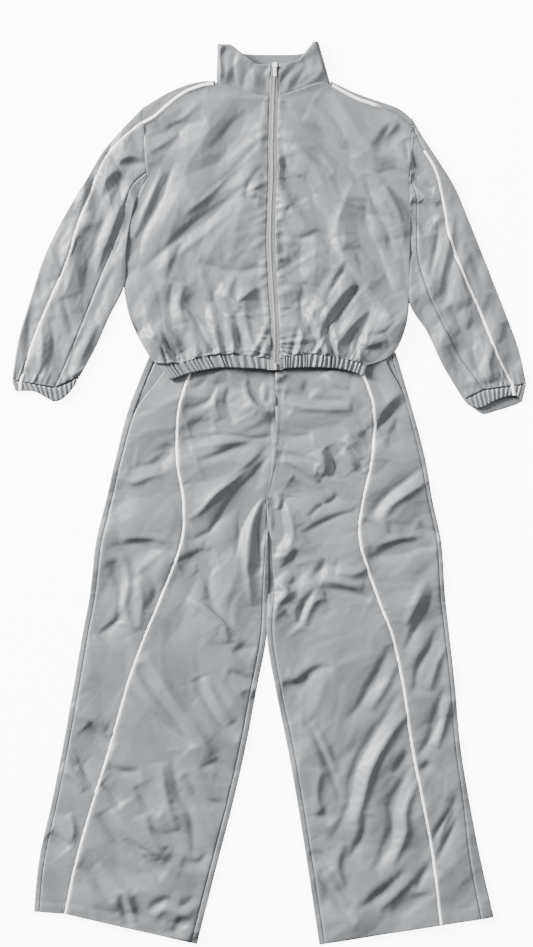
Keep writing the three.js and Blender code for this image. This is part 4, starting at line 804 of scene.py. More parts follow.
@dataclass(frozen=True)
class Crumple:
    """Facets between crossing creases, which mostly run one way in one part of a garment.

    The part lies round `centre` (y in millimetres) and fades out over `reach`. `angle` is the
    creases' direction in degrees from +X.
    """

    centre: float
    reach: float
    angle: float
    slope: float = 0.12
    shortest: float = 50.0
    longest: float = 135.0
    spread: float = 17.0
    waves: int = 5

    def rise(self, points: Array, rng: np.random.Generator) -> Array:
        """Height that the facets add at each point, faded by the share of this part.

        Args:
            points: Points of the plan, (n, 2).
            rng: Source of the unevenness.

        Returns:
            The heights, (n,).
        """
        total = np.zeros(len(points))
        for _ in range(self.waves):
            turn = math.radians(self.angle + 90 + rng.normal(0, self.spread))
            length = rng.uniform(self.shortest, self.longest)
            across = points @ np.array([math.cos(turn), math.sin(turn)])
            along = points @ np.array([-math.sin(turn), math.cos(turn)])
            bend = 0.0
            for share, low, high in ((0.2, 2.2, 4.0), (0.05, 0.9, 1.6)):
                swing = 2 * math.pi * along / (length * rng.uniform(low, high))
                bend = bend + share * np.cos(swing + rng.uniform(0, 2 * math.pi))
            phase = 2 * math.pi * (across / length + bend + rng.uniform())
            facets = np.arcsin(0.993 * np.sin(phase)) * length / (2 * math.pi)
            patch = np.cos(2 * math.pi * along / (length * rng.uniform(1.9, 3.6)) + rng.uniform(0, 6))
            total += rng.uniform(0.45, 1.25) * facets * mix(0.3, 1.0, 0.5 + 0.5 * patch)
        weight = np.exp(-(((points[:, 1] - self.centre) / self.reach) ** 2))
        return self.slope * total * weight


@dataclass(frozen=True)
class Wrinkles:
    """Short wrinkles that a seam draws into the cloth: mean distance, length and height."""

    pitch: float
    reach: float
    depth: float


LEG_SEAM_WRINKLES = Wrinkles(9.0, 8.0, 0.7)
LEG_HEM_WRINKLES = Wrinkles(9.0, 8.0, 0.45)
SLEEVE_SEAM_WRINKLES = Wrinkles(10.0, 8.0, 0.5)
ARMHOLE_WRINKLES = Wrinkles(9.0, 9.0, 0.6)
CUFF_FLUTES = Wrinkles(8.0, 26.0, 2.4)
FRONT_SEAM_WRINKLES = Wrinkles(10.0, 8.0, 0.6)
HEM_GATHERS = Wrinkles(7.6, 15.0, 2.0)
HEM_FLUTES = Wrinkles(18.0, 58.0, 5.2)
ZIP_GATHERS = Wrinkles(7.0, 11.0, 1.5)
ZIP_FLUTES = Wrinkles(16.0, 30.0, 2.4)
SEAM_HOLD = 0.85  # share of a wrinkle's height that is lost right at the seam
SEAM_HOLD_REACH = 2.4


@dataclass
class ClothSheet:
    """A sheet of cloth over a grid, which settles as cloth that can't stretch.

    The grid's rows run along the piece and its columns across. The border and the seams' columns
    keep their place in the plan, and tied points keep their height too.
    """

    plan: Array
    garment: Garment
    creases: Sequence[Fold]
    crumples: Sequence[Crumple]
    seed: int
    spare: float = 0.002  # extra cloth everywhere, as a share of its length
    seams: tuple[int, ...] = ()
    tied_rows: tuple[int, ...] = ()
    tied_columns: tuple[int, ...] = ()
    fold_gain: float = 1.5
    flare: float = 0.3  # spread of the random start
    ease: float = 2.6  # cells over which a fold's extra length spreads
    points: Array = field(init=False)
    base: Array = field(init=False)
    seeded: Array = field(init=False)
    drawn: Array = field(init=False)

    def __post_init__(self) -> None:
        """Lays the sheet out with its folds as a start."""
        flat = self.plan.reshape(-1, 2)
        shape = self.plan.shape[:2]
        rng = np.random.default_rng(self.seed)
        self.base = self.garment.grid_top(self.plan)
        self.drawn = fold_height(self.creases, flat).reshape(shape) * self.fold_gain
        self.drawn += sum(crumple.rise(flat, rng) for crumple in self.crumples).reshape(shape)
        rough = sum(
            share * soft_noise(shape, radius, rng)
            for radius, share in ((14, 1.5), (6, 0.5), (3, 0.12))
        )
        calm = smooth(self.cells_from_ties() / CALM_CELLS)
        low = self.garment.grid_under(self.plan) + LEAST_LOFT
        self.seeded = np.maximum(self.base + (self.drawn + self.flare * rough) * calm, low)
        self.points = np.dstack([self.plan, self.seeded])

    def cells_from_ties(self) -> Array:
        """Distance from each point to the nearest tied row or column.

        Returns:
            The distances in cells, (rows, columns).
        """
        rows, columns = self.plan.shape[:2]
        away = np.full((rows, columns), float(rows + columns))
        for row in self.tied_rows:
            away = np.minimum(away, np.abs(np.arange(rows) - row % rows)[:, None])
        for column in self.tied_columns:
            away = np.minimum(away, np.abs(np.arange(columns) - column % columns)[None, :])
        return away

    def freedom(self, step: int) -> Array:
        """How far each point may move in x, y and z, from 0 to 1.

        Args:
            step: The grid's step at this level.

        Returns:
            The shares, (rows, columns, 3).
        """
        free = np.ones((*self.plan.shape[:2], 3))
        free[[0, -1], :, :2] = 0.0
        free[:, [0, -1], :2] = 0.0
        free[:, list(self.seams), :2] = 0.0
        free[list(self.tied_rows)] = 0.0
        free[:, list(self.tied_columns)] = 0.0
        return free[::step, ::step]

    def settle(self, levels: Sequence[tuple[int, int]] = ((2, 90), (1, 46))) -> None:
        """Settles the sheet, from a coarse grid to the full one.

        Args:
            levels: The grid's step and the number of rounds at each level.
        """
        whole = np.dstack([self.plan, self.base])
        seeds = self.points - whole
        moved, before = np.zeros((1, 1, 3)), None
        for step, rounds in levels:
            change = seeds[::step, ::step].copy()
            if before is not None:
                change += self.refined(moved - before, change.shape[:2])
            settled = self.rounds(whole[::step, ::step] + change, step, rounds)
            moved, before = settled - whole[::step, ::step], seeds[::step, ::step]
        self.points = whole + moved
        low = self.garment.grid_under(self.points[..., :2])
        kept = KEPT_SHARE * self.drawn * np.minimum(self.cells_from_ties() / CALM_CELLS, 1.0)
        self.points[..., 2] = np.maximum(self.points[..., 2] + kept, low + LEAST_LOFT)

    @staticmethod
    def refined(values: Array, shape: tuple[int, int]) -> Array:
        """Values of a grid at twice as many steps.

        Args:
            values: The coarse grid's values, (rows, columns, k).
            shape: Rows and columns of the finer grid.

        Returns:
            The finer grid's values.
        """
        fine = np.zeros((*shape, values.shape[2]))
        fine[::2, ::2] = values
        fine[1::2, ::2] = (values[:-1] + values[1:]) / 2
        fine[:, 1::2] = (fine[:, :-1:2] + fine[:, 2::2]) / 2
        return fine

    def rounds(self, start: Array, step: int, count: int) -> Array:
        """Rounds of corrections that give every link of the grid its own length.

        Args:
            start: The points at this level.
            step: The grid's step at this level.
            count: How many rounds.

        Returns:
            The settled points.
        """
        p = start.copy()
        plan = self.plan[::step, ::step]
        free = self.freedom(step)
        rows, columns = plan.shape[:2]
        low = self.garment.grid_under(plan) + LEAST_LOFT
        level = self.base[::step, ::step]
        seeded = np.dstack([plan, self.seeded[::step, ::step]])
        links = []
        for down, right, stiffness in LINKS:
            lengths = self.link_lengths(seeded, down, right, self.ease / step)
            for odd in (0, 1):
                a = (
                    slice(odd if down else 0, rows - down, 2 if down else 1),
                    slice(max(0, -right) + (0 if down else odd), columns - max(0, right),
                          1 if down else 2),
                )
                b = tuple(
                    slice(s.start + by, s.stop + by, s.step) for s, by in zip(a, (down, right))
                )
                length = lengths[a[0], slice(a[1].start - max(0, -right), None, a[1].step)]
                length = length[:, : len(range(*a[1].indices(columns)))]
                links.append((a, b, length, 0.5 * stiffness))
        for _ in range(count):
            for a, b, length, stiffness in links:
                way = p[b] - p[a]
                now = np.sqrt(np.einsum("ijk,ijk->ij", way, way)) + 1e-9
                pull = way * (stiffness * (now - length) / now)[..., None]
                p[a] += pull * free[a]
                p[b] -= pull * free[b]
            p[..., 2] += SETTLE_TO_LOFT * (level - p[..., 2]) * free[..., 2]
            p[..., 2] = np.clip(p[..., 2], low, level + MOST_RISE)
        return p

    def link_lengths(self, seeded: Array, down: int, right: int, radius: float) -> Array:
        """Lengths of one family of links, with the folds' extra length spread out a little.

        Args:
            seeded: The points with their folds, before settling.
            down: Rows that a link spans.
            right: Columns that it spans.
            radius: How far the extra length spreads, in cells.

        Returns:
            The lengths, (rows - down, columns - abs(right)).
        """
        rows, columns = seeded.shape[:2]
        left, shift = max(0, -right), max(0, right)
        a = seeded[: rows - down, left : columns - shift]
        b = seeded[down:, left + right : columns - shift + right]
        level = np.linalg.norm((b - a)[..., :2], axis=2)
        share = np.linalg.norm(b - a, axis=2) / np.maximum(level, 1e-6) - 1
        return level * (1 + self.spare + blurred(share, radius))

    def groove(self, column: int, depth: float, reach: float = 1.6) -> None:
        """Sinks a seam along a column.

        Args:
            column: The seam's column.
            depth: How deep it lies.
            reach: Half width of the dip.
        """
        line = self.points[:, column : column + 1, :2]
        away = np.linalg.norm(self.points[..., :2] - line, axis=2)
        self.points[..., 2] -= depth * np.exp(-((away / reach) ** 2))

    def pucker(self, line: Array, kind: Wrinkles, seed: int) -> None:
        """Adds wrinkles that run away from a seam, uneven in pitch, length and height.

        Args:
            line: The seam's points, (n, 2).
            kind: The wrinkles' mean sizes.
            seed: Seed of the unevenness.
        """
        rng = np.random.default_rng(self.seed * 31 + seed)
        flat = self.points[..., :2].reshape(-1, 2)
        low, high = line.min(0) - 4 * kind.reach, line.max(0) + 4 * kind.reach
        close = np.all((flat > low) & (flat < high), axis=1)
        place = nearest_on_line(flat[close], line)
        run = np.linalg.norm(np.diff(line, axis=0), axis=1).sum()
        count = max(3, int(run / kind.pitch))
        marks = (np.arange(count) + rng.uniform(0.15, 0.85, count)) * run / count
        rise = np.zeros(len(place.along))
        for mark in marks:
            length = kind.reach * rng.uniform(0.35, 1.7)
            height = kind.depth * rng.uniform(0.2, 1.5)
            slant = rng.uniform(-0.5, 0.5)
            half = kind.pitch * rng.uniform(0.24, 0.4)
            near = place.distance < 4 * length
            offset = place.along[near] * run - mark - slant * place.distance[near]
            crest = np.exp(-((offset / half) ** 2))
            trough = 0.55 * np.exp(-(((offset - 1.7 * half) / half) ** 2))
            rise[near] += height * (crest - trough) * np.exp(-place.distance[near] / length)
        rise *= 1 - SEAM_HOLD * np.exp(-((place.distance / SEAM_HOLD_REACH) ** 2))
        self.points.reshape(-1, 3)[close, 2] += rise


def to_frame(points: Array) -> Array:
    """Layout millimetres as metres of the frame."""
    return (points + LAYOUT_TO_FRAME) * MM


def add_object(name: str, data: bpy.types.ID) -> bpy.types.Object:
    """Puts a new object into the scene.

    Args:
        name: Its name.
        data: Its mesh, light or camera.

    Returns:
        The object.
    """
    obj = bpy.data.objects.new(name, data)
    bpy.context.scene.collection.objects.link(obj)
    return obj


@dataclass
class MeshDraft:
    """Grids and faces gathered into one mesh."""

    points: list[Array] = field(default_factory=list)
    faces: list[Array] = field(default_factory=list)
    count: int = 0

    def add(self, points: Array, faces: Array) -> None:
        """Adds points and the faces between them.

        Args:
            points: The points, (n, 3).
            faces: Their indices for each quad or triangle.
        """
        self.points.append(points)
        self.faces.append(np.asarray(faces) + self.count)
        self.count += len(points)

    def grid(self, grid: Array, flip: bool = False, ring: bool = False) -> None:
        """Adds a grid of points as quads.

        Args:
            grid: Points, (rows, columns, 3).
            flip: Turns the faces over.
            ring: Joins the last column to the first.
        """
        rows, columns = grid.shape[:2]
        index = np.arange(rows * columns).reshape(rows, columns)
        right = np.roll(index, -1, axis=1) if ring else index[:, 1:]
        left = index if ring else index[:, :-1]
        quads = np.stack([left[:-1], right[:-1], right[1:], left[1:]], axis=-1).reshape(-1, 4)
        self.add(grid.reshape(-1, 3), quads[:, ::-1] if flip else quads)

    def build(self, name: str, merge: float = 0.0) -> bpy.types.Object:
        """Makes the object, in metres.

        Args:
            name: The piece's name.
            merge: Distance in millimetres under which points become one, 0 to keep them all.

        Returns:
            The new object, linked to the scene.
        """
        mesh = bpy.data.meshes.new(name)
        faces = [face.tolist() for block in self.faces for face in block]
        mesh.from_pydata(to_frame(np.vstack(self.points)).tolist(), [], faces)
        if merge:
            draft = bmesh.new()
            draft.from_mesh(mesh)
            bmesh.ops.remove_doubles(draft, verts=draft.verts, dist=merge * MM)
            draft.to_mesh(mesh)
            draft.free()
        mesh.validate()
        mesh.shade_smooth()
        return add_object(name, mesh)


LEG_CRUMPLES = {
    Side.RIGHT: (Crumple(120, 170, 30, 0.1), Crumple(-130, 130, 65, 0.1),
                 Crumple(-380, 200, 120, 0.07, 70, 180, 18),
                 Crumple(-690, 160, 130, 0.075, 60, 150, 22)),
    Side.LEFT: (Crumple(120, 170, 155, 0.1), Crumple(-130, 130, 25, 0.1),
                Crumple(-400, 200, 60, 0.07, 70, 180, 18),
                Crumple(-690, 160, 50, 0.075, 60, 150, 22)),
}
COLLAR_CRUMPLE = Crumple(742, 80, 75, slope=0.24, shortest=26, longest=70)
SLEEVE_CRUMPLES = {
    Side.RIGHT: (Crumple(520, 120, 75, 0.12, 40, 100), Crumple(330, 140, 85, 0.11, 40, 100)),
    Side.LEFT: (Crumple(520, 120, 110, 0.12, 40, 100), Crumple(330, 140, 100, 0.11, 40, 100)),
}
FRONT_CRUMPLES = {
    Side.RIGHT: (Crumple(600, 140, 42, 0.08), Crumple(430, 110, 50, 0.1), Crumple(300, 100, 100)),
    Side.LEFT: (Crumple(600, 140, 130), Crumple(450, 110, 125), Crumple(300, 100, 70)),
}


@dataclass(frozen=True)
class Look:
    """A finish and the record's slot that it belongs to."""

    material: bpy.types.Material
    slot: str


def dress(obj: bpy.types.Object, look: Look, *nodes: str, body: str = "suit") -> bpy.types.Object:
    """Gives a piece its finish, and lets it stand for its solids.

    Args:
        obj: The piece.
        look: Its finish.
        nodes: Solids that the piece stands for.
        body: The body that it moves with.

    Returns:
        The same piece.
    """
    obj.data.materials.append(look.material)
    if nodes:
        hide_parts(*nodes)
    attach(obj, body)
    return obj


def lay(obj: bpy.types.Object,
        thickness: float = SHELL) -> None:
    """Gives a laid piece of cloth its thickness.

    Args:
        obj: The piece, still without thickness.
        thickness: In millimetres, inwards from the faces that point out.
    """
    solid = obj.modifiers.new("thickness", "SOLIDIFY")
    solid.thickness = thickness * MM
    solid.offset = -1.0
    solid.use_even_offset = False


def grid_size(grid: Array) -> tuple[float, float]:
    """Greatest size of a grid of cloth along its own rows and columns.

    Args:
        grid: Points in millimetres, (rows, columns, 3).

    Returns:
        Width across the columns and length along the rows, in metres.
    """
    across = np.linalg.norm(np.diff(grid, axis=1), axis=2).sum(1).max() * MM
    along = np.linalg.norm(np.diff(grid, axis=0), axis=2).sum(0).max() * MM
    return float(across), float(along)


def apart(grid: Array, first: bool = True, last: bool = True, share: float = 0.02) -> Array:
    """Draws a panel's borders in a little, so that it parts from its neighbours.

    Args:
        grid: The panel's points, (rows, columns, 3).
        first: Whether the first column moves.
        last: Whether the last one moves.
        share: How far they move, as a share of a cell.

    Returns:
        The panel's new points.
    """
    out = grid.copy()
    if first:
        out[:, 0] = mix(grid[:, 0], grid[:, 1], share)
    if last:
        out[:, -1] = mix(grid[:, -1], grid[:, -2], share)
    return out


DOWN_TURNS = (108, 126, 144, 162, 180, 198, 216, 234, 252, 270)


def roll(border: Array, inwards: Array, under: Array, turns: Sequence[float],
         radius: Array | float = SIDE_ROLL) -> Array:
    """A folded edge that turns from a sheet's border round to its underside.

    Args:
        border: The sheet's last points before the fold, (rows, 3).
        inwards: Unit vectors into the piece, (rows, 2).
        under: Height of the underside, (rows,).
        turns: Angles in degrees, 90 where the cloth faces up and 270 where it faces down.
        radius: The fold's radius in plan.

    Returns:
        Points, (rows, turns, 3).
    """
    reach = np.broadcast_to(np.asarray(radius, float), (len(border),))[:, None]
    half = (border[:, 2] - under) / 2
    columns = []
    for turn in np.radians(turns):
        place = border[:, :2] + inwards * reach * math.cos(turn)
        columns.append(np.column_stack([place, under + half * (1 + math.sin(turn))]))
    return np.stack(columns, axis=1)


def facing_up(grid: Array, column: int) -> bool:
    """Whether a grid's quads beside a column look up.

    Args:
        grid: Points, (rows, columns, 3).
        column: The column at the quads' left, or -1 for the last quads.

    Returns:
        True where they do, on the whole.
    """
    k = column if column >= 0 else grid.shape[1] - 2
    a = grid[1:, k] - grid[:-1, k]
    b = grid[:-1, k + 1] - grid[:-1, k]
    return float(np.cross(b, a)[:, 2].sum()) > 0


def sew(name: str, grid: Array, look: Look, up: int = 0, ring: bool = False,
        merge: float = 0.0) -> bpy.types.Object:
    """Makes a piece of cloth of one grid, and dresses it.

    Args:
        name: The solid that it stands for.
        grid: Points, (rows, columns, 3).
        look: Its finish.
        up: A column beside which it looks up.
        ring: Joins the last column to the first.
        merge: Distance under which points become one, 0 to keep them all.

    Returns:
        The piece.
    """
    draft = MeshDraft()
    draft.grid(grid, flip=not facing_up(grid, up), ring=ring)
    return dress(draft.build(f"{name}_cloth", merge), look, name)


# A short bar between three rings of four points
BAR_FACES = np.array(
    [[3, 2, 1, 0], [8, 9, 10, 11]]
    + [[j + i, j + (i + 1) % 4, j + (i + 1) % 4 + 4, j + i + 4] for j in (0, 4) for i in range(4)]
)


@dataclass(frozen=True)
class Pocket:
    """A slanting pocket mouth, whose edge stands off the outseam from its foot to the waist."""

    top: float
    foot: float

    def inset(self, y: Array) -> Array:
        """How far the mouth's edge lies inside the outseam."""
        return self.top * smooth((y - self.foot) / (WAIST_SEAM - self.foot))


RIGHT_POCKET = Pocket(top=25, foot=131)
LEFT_POCKET = Pocket(top=11, foot=172)


@dataclass
class Stitching:
    """A row of stitches laid along a line on the cloth."""

    name: str
    line: Array
    length: float = 2.3
    gap: float = 0.9
    width: float = 0.5
    proud: float = 0.25

    def draft(self, out: MeshDraft) -> None:
        """Adds the stitches to a mesh, each one a small arched bar.

        Args:
            out: The mesh.
        """
        run = run_along(self.line)
        up = np.array([0, 0, 1.0])
        for start in np.arange(0.5, run[-1] - self.length, self.length + self.gap):
            knots = points_at(self.line, run, start + np.array([0.0, 0.5, 1.0]) * self.length)
            way = knots[2] - knots[0]
            way /= np.linalg.norm(way) + 1e-9
            side = np.array([-way[1], way[0], 0.0])
            side /= np.linalg.norm(side) + 1e-9
            ring = []
            for knot, lift, share in zip(knots, (-0.15, self.proud, -0.15), (0.6, 1.0, 0.6)):
                w = side * self.width * share / 2
                ring += [knot - w - up * 0.3, knot - w * 0.7 + up * lift,
                         knot + w * 0.7 + up * lift, knot + w - up * 0.3]
            out.add(np.array(ring), BAR_FACES)


def lay_stitches(name: str, lines: Sequence[Array], look: Look) -> bpy.types.Object:
    """Makes one piece of several rows of stitches.

    Args:
        name: The piece's name.
        lines: Points of each row on the cloth, in millimetres.
        look: The thread's finish.

    Returns:
        The piece.
    """
    draft = MeshDraft()
    for line in lines:
        Stitching(name, line).draft(draft)
    return dress(draft.build(name), look)


@dataclass
class Piping:
    """A corded edge sewn into a seam: a round ridge between two narrow flanges."""

    name: str
    line: Array
    half: float = 2.9
    proud: float = 1.2
    depth: float = 1.2
    step: float = 2.2
    sides: int = 10

    def build(self, look: Look) -> bpy.types.Object:
        """Sweeps the cord's section along the line.

        Args:
            look: The piping's finish.

        Returns:
            The piece.
        """
        run = run_along(self.line)
        count = max(8, int(run[-1] / self.step))
        s = np.linspace(0, run[-1], count + 1)
        centre = points_at(self.line, run, s)
        centre[:, 2] = np.convolve(np.pad(centre[:, 2], 2, mode="edge"), np.ones(5) / 5, "valid")
        away = np.hypot(*(centre[:, :2] - COVERED_AT).T)
        centre[:, 2] -= COVERED_DEPTH * smooth((COVERED_REACH - away) / COVERED_FADE + 0.5)
        way = np.gradient(centre, axis=0)
        side = np.column_stack([-way[:, 1], way[:, 0], np.zeros(len(way))])
        side /= np.linalg.norm(side, axis=1, keepdims=True)
        turns = np.linspace(0, 2 * math.pi, self.sides, endpoint=False)
        swell = 1 + 0.035 * np.sin(s * 1.9) + 0.02 * np.sin(s * 0.63 + 1)
        ring = []
        for turn in turns:
            across = self.half * math.cos(turn)
            up = (self.proud if math.sin(turn) > 0 else self.depth) * math.sin(turn)
            lift = np.column_stack([np.zeros((len(s), 2)), up * swell])
            ring.append(centre + side * across + lift)
        grid = np.stack(ring, axis=1)
        draft = MeshDraft()
        draft.grid(grid, ring=True)
        for row, order in ((0, range(self.sides)), (-1, range(self.sides - 1, -1, -1))):
            middle = grid[row].mean(0)
            points = np.vstack([grid[row], middle])
            fan = [[order[(i + 1) % self.sides], order[i], self.sides] for i in range(self.sides)]
            draft.add(points, np.array(fan))
        return dress(draft.build(f"{self.name}_cord", merge=0.01), look, self.name)


@dataclass
class Wardrobe:
    """The finishes that the pieces are dressed in."""

    cloth: Look
    piping: Look
    tape: Look
    metal: Look
    plastic: Look
    thread: Look


@dataclass
class Leg:
    """One trouser leg: front, side panel and back, with its pocket and piping."""

    side: Side
    sections: dict[str, list[Point]]
    pocket: Pocket
    creases: Sequence[Fold]
    wardrobe: Wardrobe
    rows: int = 320
    seams: tuple[int, ...] = (4, 32, 92, 96)  # columns of outseam, piping, inseam, inner edge
    sheet: ClothSheet = field(init=False)

    def __post_init__(self) -> None:
        """Lays out and settles the upper layer."""
        lines = {
            name: edge_rows(points, self.rows, CROTCH if name == "inner" else 0)
            for name, points in self.sections.items()
        }
        self.crotch = round(self.rows * CROTCH / (len(self.sections["inner"]) - 1))
        self.inwards = headings(lines["outer"], lines["inner"])
        start = lines["outer"] + self.inwards * SIDE_ROLL
        rows_down = np.arange(self.rows + 1) - self.crotch
        self.turned = smooth(rows_down / INNER_EDGE_ROWS)[:, None]
        inner = lines["inner"] - self.inwards * (SIDE_ROLL * self.turned + 0.05)
        inset = mix(CROTCH_INSET, INSEAM_INSET, smooth(np.abs(rows_down) / INSEAM_ROWS))[:, None]
        inseam = lines["inner"] - self.inwards * inset
        self.sheet = ClothSheet(
            plan_across([start, lines["outseam"], lines["piping"], inseam, inner], self.seams),
            Garment.LEG, self.creases, LEG_CRUMPLES[self.side],
            SEED + (3 if self.side is Side.LEFT else 1),
            seams=self.seams[:3], tied_rows=(0,),
        )
        self.sheet.settle()
        self.trim()

    def trim(self) -> None:
        """Adds the seams' wrinkles and grooves."""
        sheet = self.sheet
        outseam, piping, inseam, _ = self.seams
        for column in (outseam, piping, inseam):
            line = sheet.points[::6, column, :2].copy()
            if column == inseam:
                line = line[self.crotch // 6 + 4 :]
            sheet.pucker(line, LEG_SEAM_WRINKLES, column)
        sheet.pucker(sheet.points[-1, ::6, :2].copy(), LEG_HEM_WRINKLES, 7)
        sheet.groove(outseam, depth=0.5, reach=1.3)
        sheet.groove(piping, depth=1.0, reach=2.8)
        sheet.groove(inseam, depth=0.6)
        rows_up = self.rows - np.arange(self.rows + 1)[:, None]
        sheet.points[..., 2] -= 0.6 * np.exp(-(((HEM_STITCH_ROW - rows_up) / 1.3) ** 2))

    def name(self, piece: str) -> str:
        """The solid's name of one of the leg's pieces."""
        return f"trouser_{piece}_{self.side.value}"

    def build(self) -> list[bpy.types.Object]:
        """Makes the leg's pieces.

        Returns:
            Front, side panel, back, facing and piping.
        """
        cloth, piping = self.wardrobe.cloth, self.seams[1]
        back, back_size = self.back()
        front, front_size = self.front()
        side_grid = apart(self.side_grid())
        side = sew(self.name("side"), side_grid, cloth)
        facing = self.facing()
        cord = Piping(f"piping_trouser_{self.side.value}", self.sheet.points[:, piping]).build(
            self.wardrobe.piping)
        dress(back, cloth, self.name("back"))
        lay(back)
        dress(front, cloth, self.name("front"))
        thread = lay_stitches(f"{self.name('hem')}_stitches", self.stitch_lines(),
                              self.wardrobe.thread)
        lay(front)
        lay(side)
        return [back, front, side, facing, cord, thread]

    def side_grid(self) -> Array:
        """The side panel, from the pocket mouth to the piping.

        Returns:
            Its points, (rows, columns, 3).
        """
        outseam, piping, *_ = self.seams
        grid = self.sheet.points[:, outseam : piping + 1]
        rows, columns = grid.shape[:2]
        inset = self.pocket.inset(grid[:, 0, 1])
        width = np.linalg.norm(grid[:, -1, :2] - grid[:, 0, :2], axis=1)
        even, fading = np.linspace(0, 1, columns)[None, :], np.linspace(1, 0, columns)[None, :]
        place = (even + (inset / width)[:, None] * fading) * (columns - 1)
        i = np.minimum(place.astype(int), columns - 2)
        row = np.arange(rows)[:, None]
        return mix(grid[row, i], grid[row, i + 1], (place - i)[..., None])

    def front(self) -> tuple[bpy.types.Object, tuple[float, float]]:
        """The front panel, from the piping to the centre seam and, below it, the inseam.

        Returns:
            The piece, and the width and length of its cut in metres.
        """
        _, piping, inseam, inner = self.seams
        grid = self.sheet.points[:, piping : inner + 1]
        up = facing_up(grid, 3)
        tucked = grid[:, -1:].copy()
        tucked += np.dstack([self.inwards[:, None] * ALLOWANCE, np.full((len(grid), 1, 1), -1.0)])
        draft = MeshDraft()
        upper = np.concatenate([grid, tucked], axis=1) if self.side is Side.RIGHT else grid
        draft.grid(upper[: self.crotch + 1], flip=not up)
        draft.grid(apart(grid[self.crotch :, : inseam - piping + 1], first=False), flip=not up)
        return draft.build(f"{self.name('front')}_cloth", merge=0.02), grid_size(grid)

    def back(self) -> tuple[bpy.types.Object, tuple[float, float]]:
        """The back panel, rolled forward round both edges to the seams on top.

        Returns:
            The piece, and the width and length of its cut in metres.
        """
        outseam, _, inseam, inner = self.seams
        points, crotch = self.sheet.points, self.crotch
        flat = np.zeros(len(points))
        outer_roll = roll(points[:, 0], self.inwards, flat, DOWN_TURNS)
        inner_roll = roll(points[:, -1], -self.inwards, flat, DOWN_TURNS,
                          SIDE_ROLL * self.turned[:, 0] + 0.05)
        place = points[:, np.linspace(0, inner, 13).round().astype(int), :2]
        under = np.dstack([place, np.zeros(place.shape[:2])])
        strip = apart(points[:, outseam::-1], last=False)
        first = np.concatenate([strip, outer_roll, under[:, 1:]], axis=1)
        strip = apart(points[:, inner : inseam - 1 : -1], first=False)
        tail = np.concatenate([under[:, -1:], inner_roll[:, -2::-1], strip], axis=1)[crotch:]
        draft = MeshDraft()
        draft.grid(first, flip=not facing_up(first, 0))
        draft.grid(tail, flip=not facing_up(tail, -1))
        if self.side is Side.RIGHT:
            above = under[: crotch + 1, -1:]
            allowance = np.dstack([
                self.inwards[: crotch + 1, None] * ALLOWANCE, np.full((len(above), 1, 1), 0.7),
            ])
            seam = np.concatenate([above, above + allowance], axis=1)
            draft.grid(seam, flip=facing_up(seam, 0))
        width, _ = grid_size(np.concatenate([first[crotch:], tail[:, 1:]], axis=1))
        _, length = grid_size(first)
        return draft.build(f"{self.name('back')}_cloth", merge=0.02), (width, length)

    def facing(self) -> bpy.types.Object:
        """Makes the facing that shows in the pocket's mouth.

        Returns:
            The piece.
        """
        line = self.sheet.points[:, self.seams[0]]
        inset = self.pocket.inset(line[:, 1])
        rows = inset > POCKET_LEAST
        start, into = line[rows], self.inwards[rows]
        share = np.linspace(0.02, 1.25, 7)
        place = start[:, None, :2] + into[:, None] * (inset[rows][:, None] * share)[..., None]
        sink = np.linspace(0.7, 1.6, 7)[None, :]
        grid = np.dstack([place, np.maximum(start[:, 2:3] - sink, 0.6)])
        piece = sew(f"pocket_facing_{self.side.value}", grid, self.wardrobe.cloth)
        lay(piece, thickness=0.4)
        return piece

    def stitch_lines(self) -> list[Array]:
        """Rows of stitches along the hem and the pocket mouth's edge.

        Returns:
            The points of each row, in millimetres.
        """
        outseam, piping, inseam, _ = self.seams
        hem_row = self.rows - HEM_STITCH_ROW
        edge = self.side_grid()[:, 1]
        inset = self.pocket.inset(self.sheet.points[:, outseam][:, 1])
        return [
            self.sheet.points[hem_row, 1 : piping],
            self.sheet.points[hem_row, piping + 1 : inseam + 3],
            edge[inset > POCKET_LEAST],
        ]


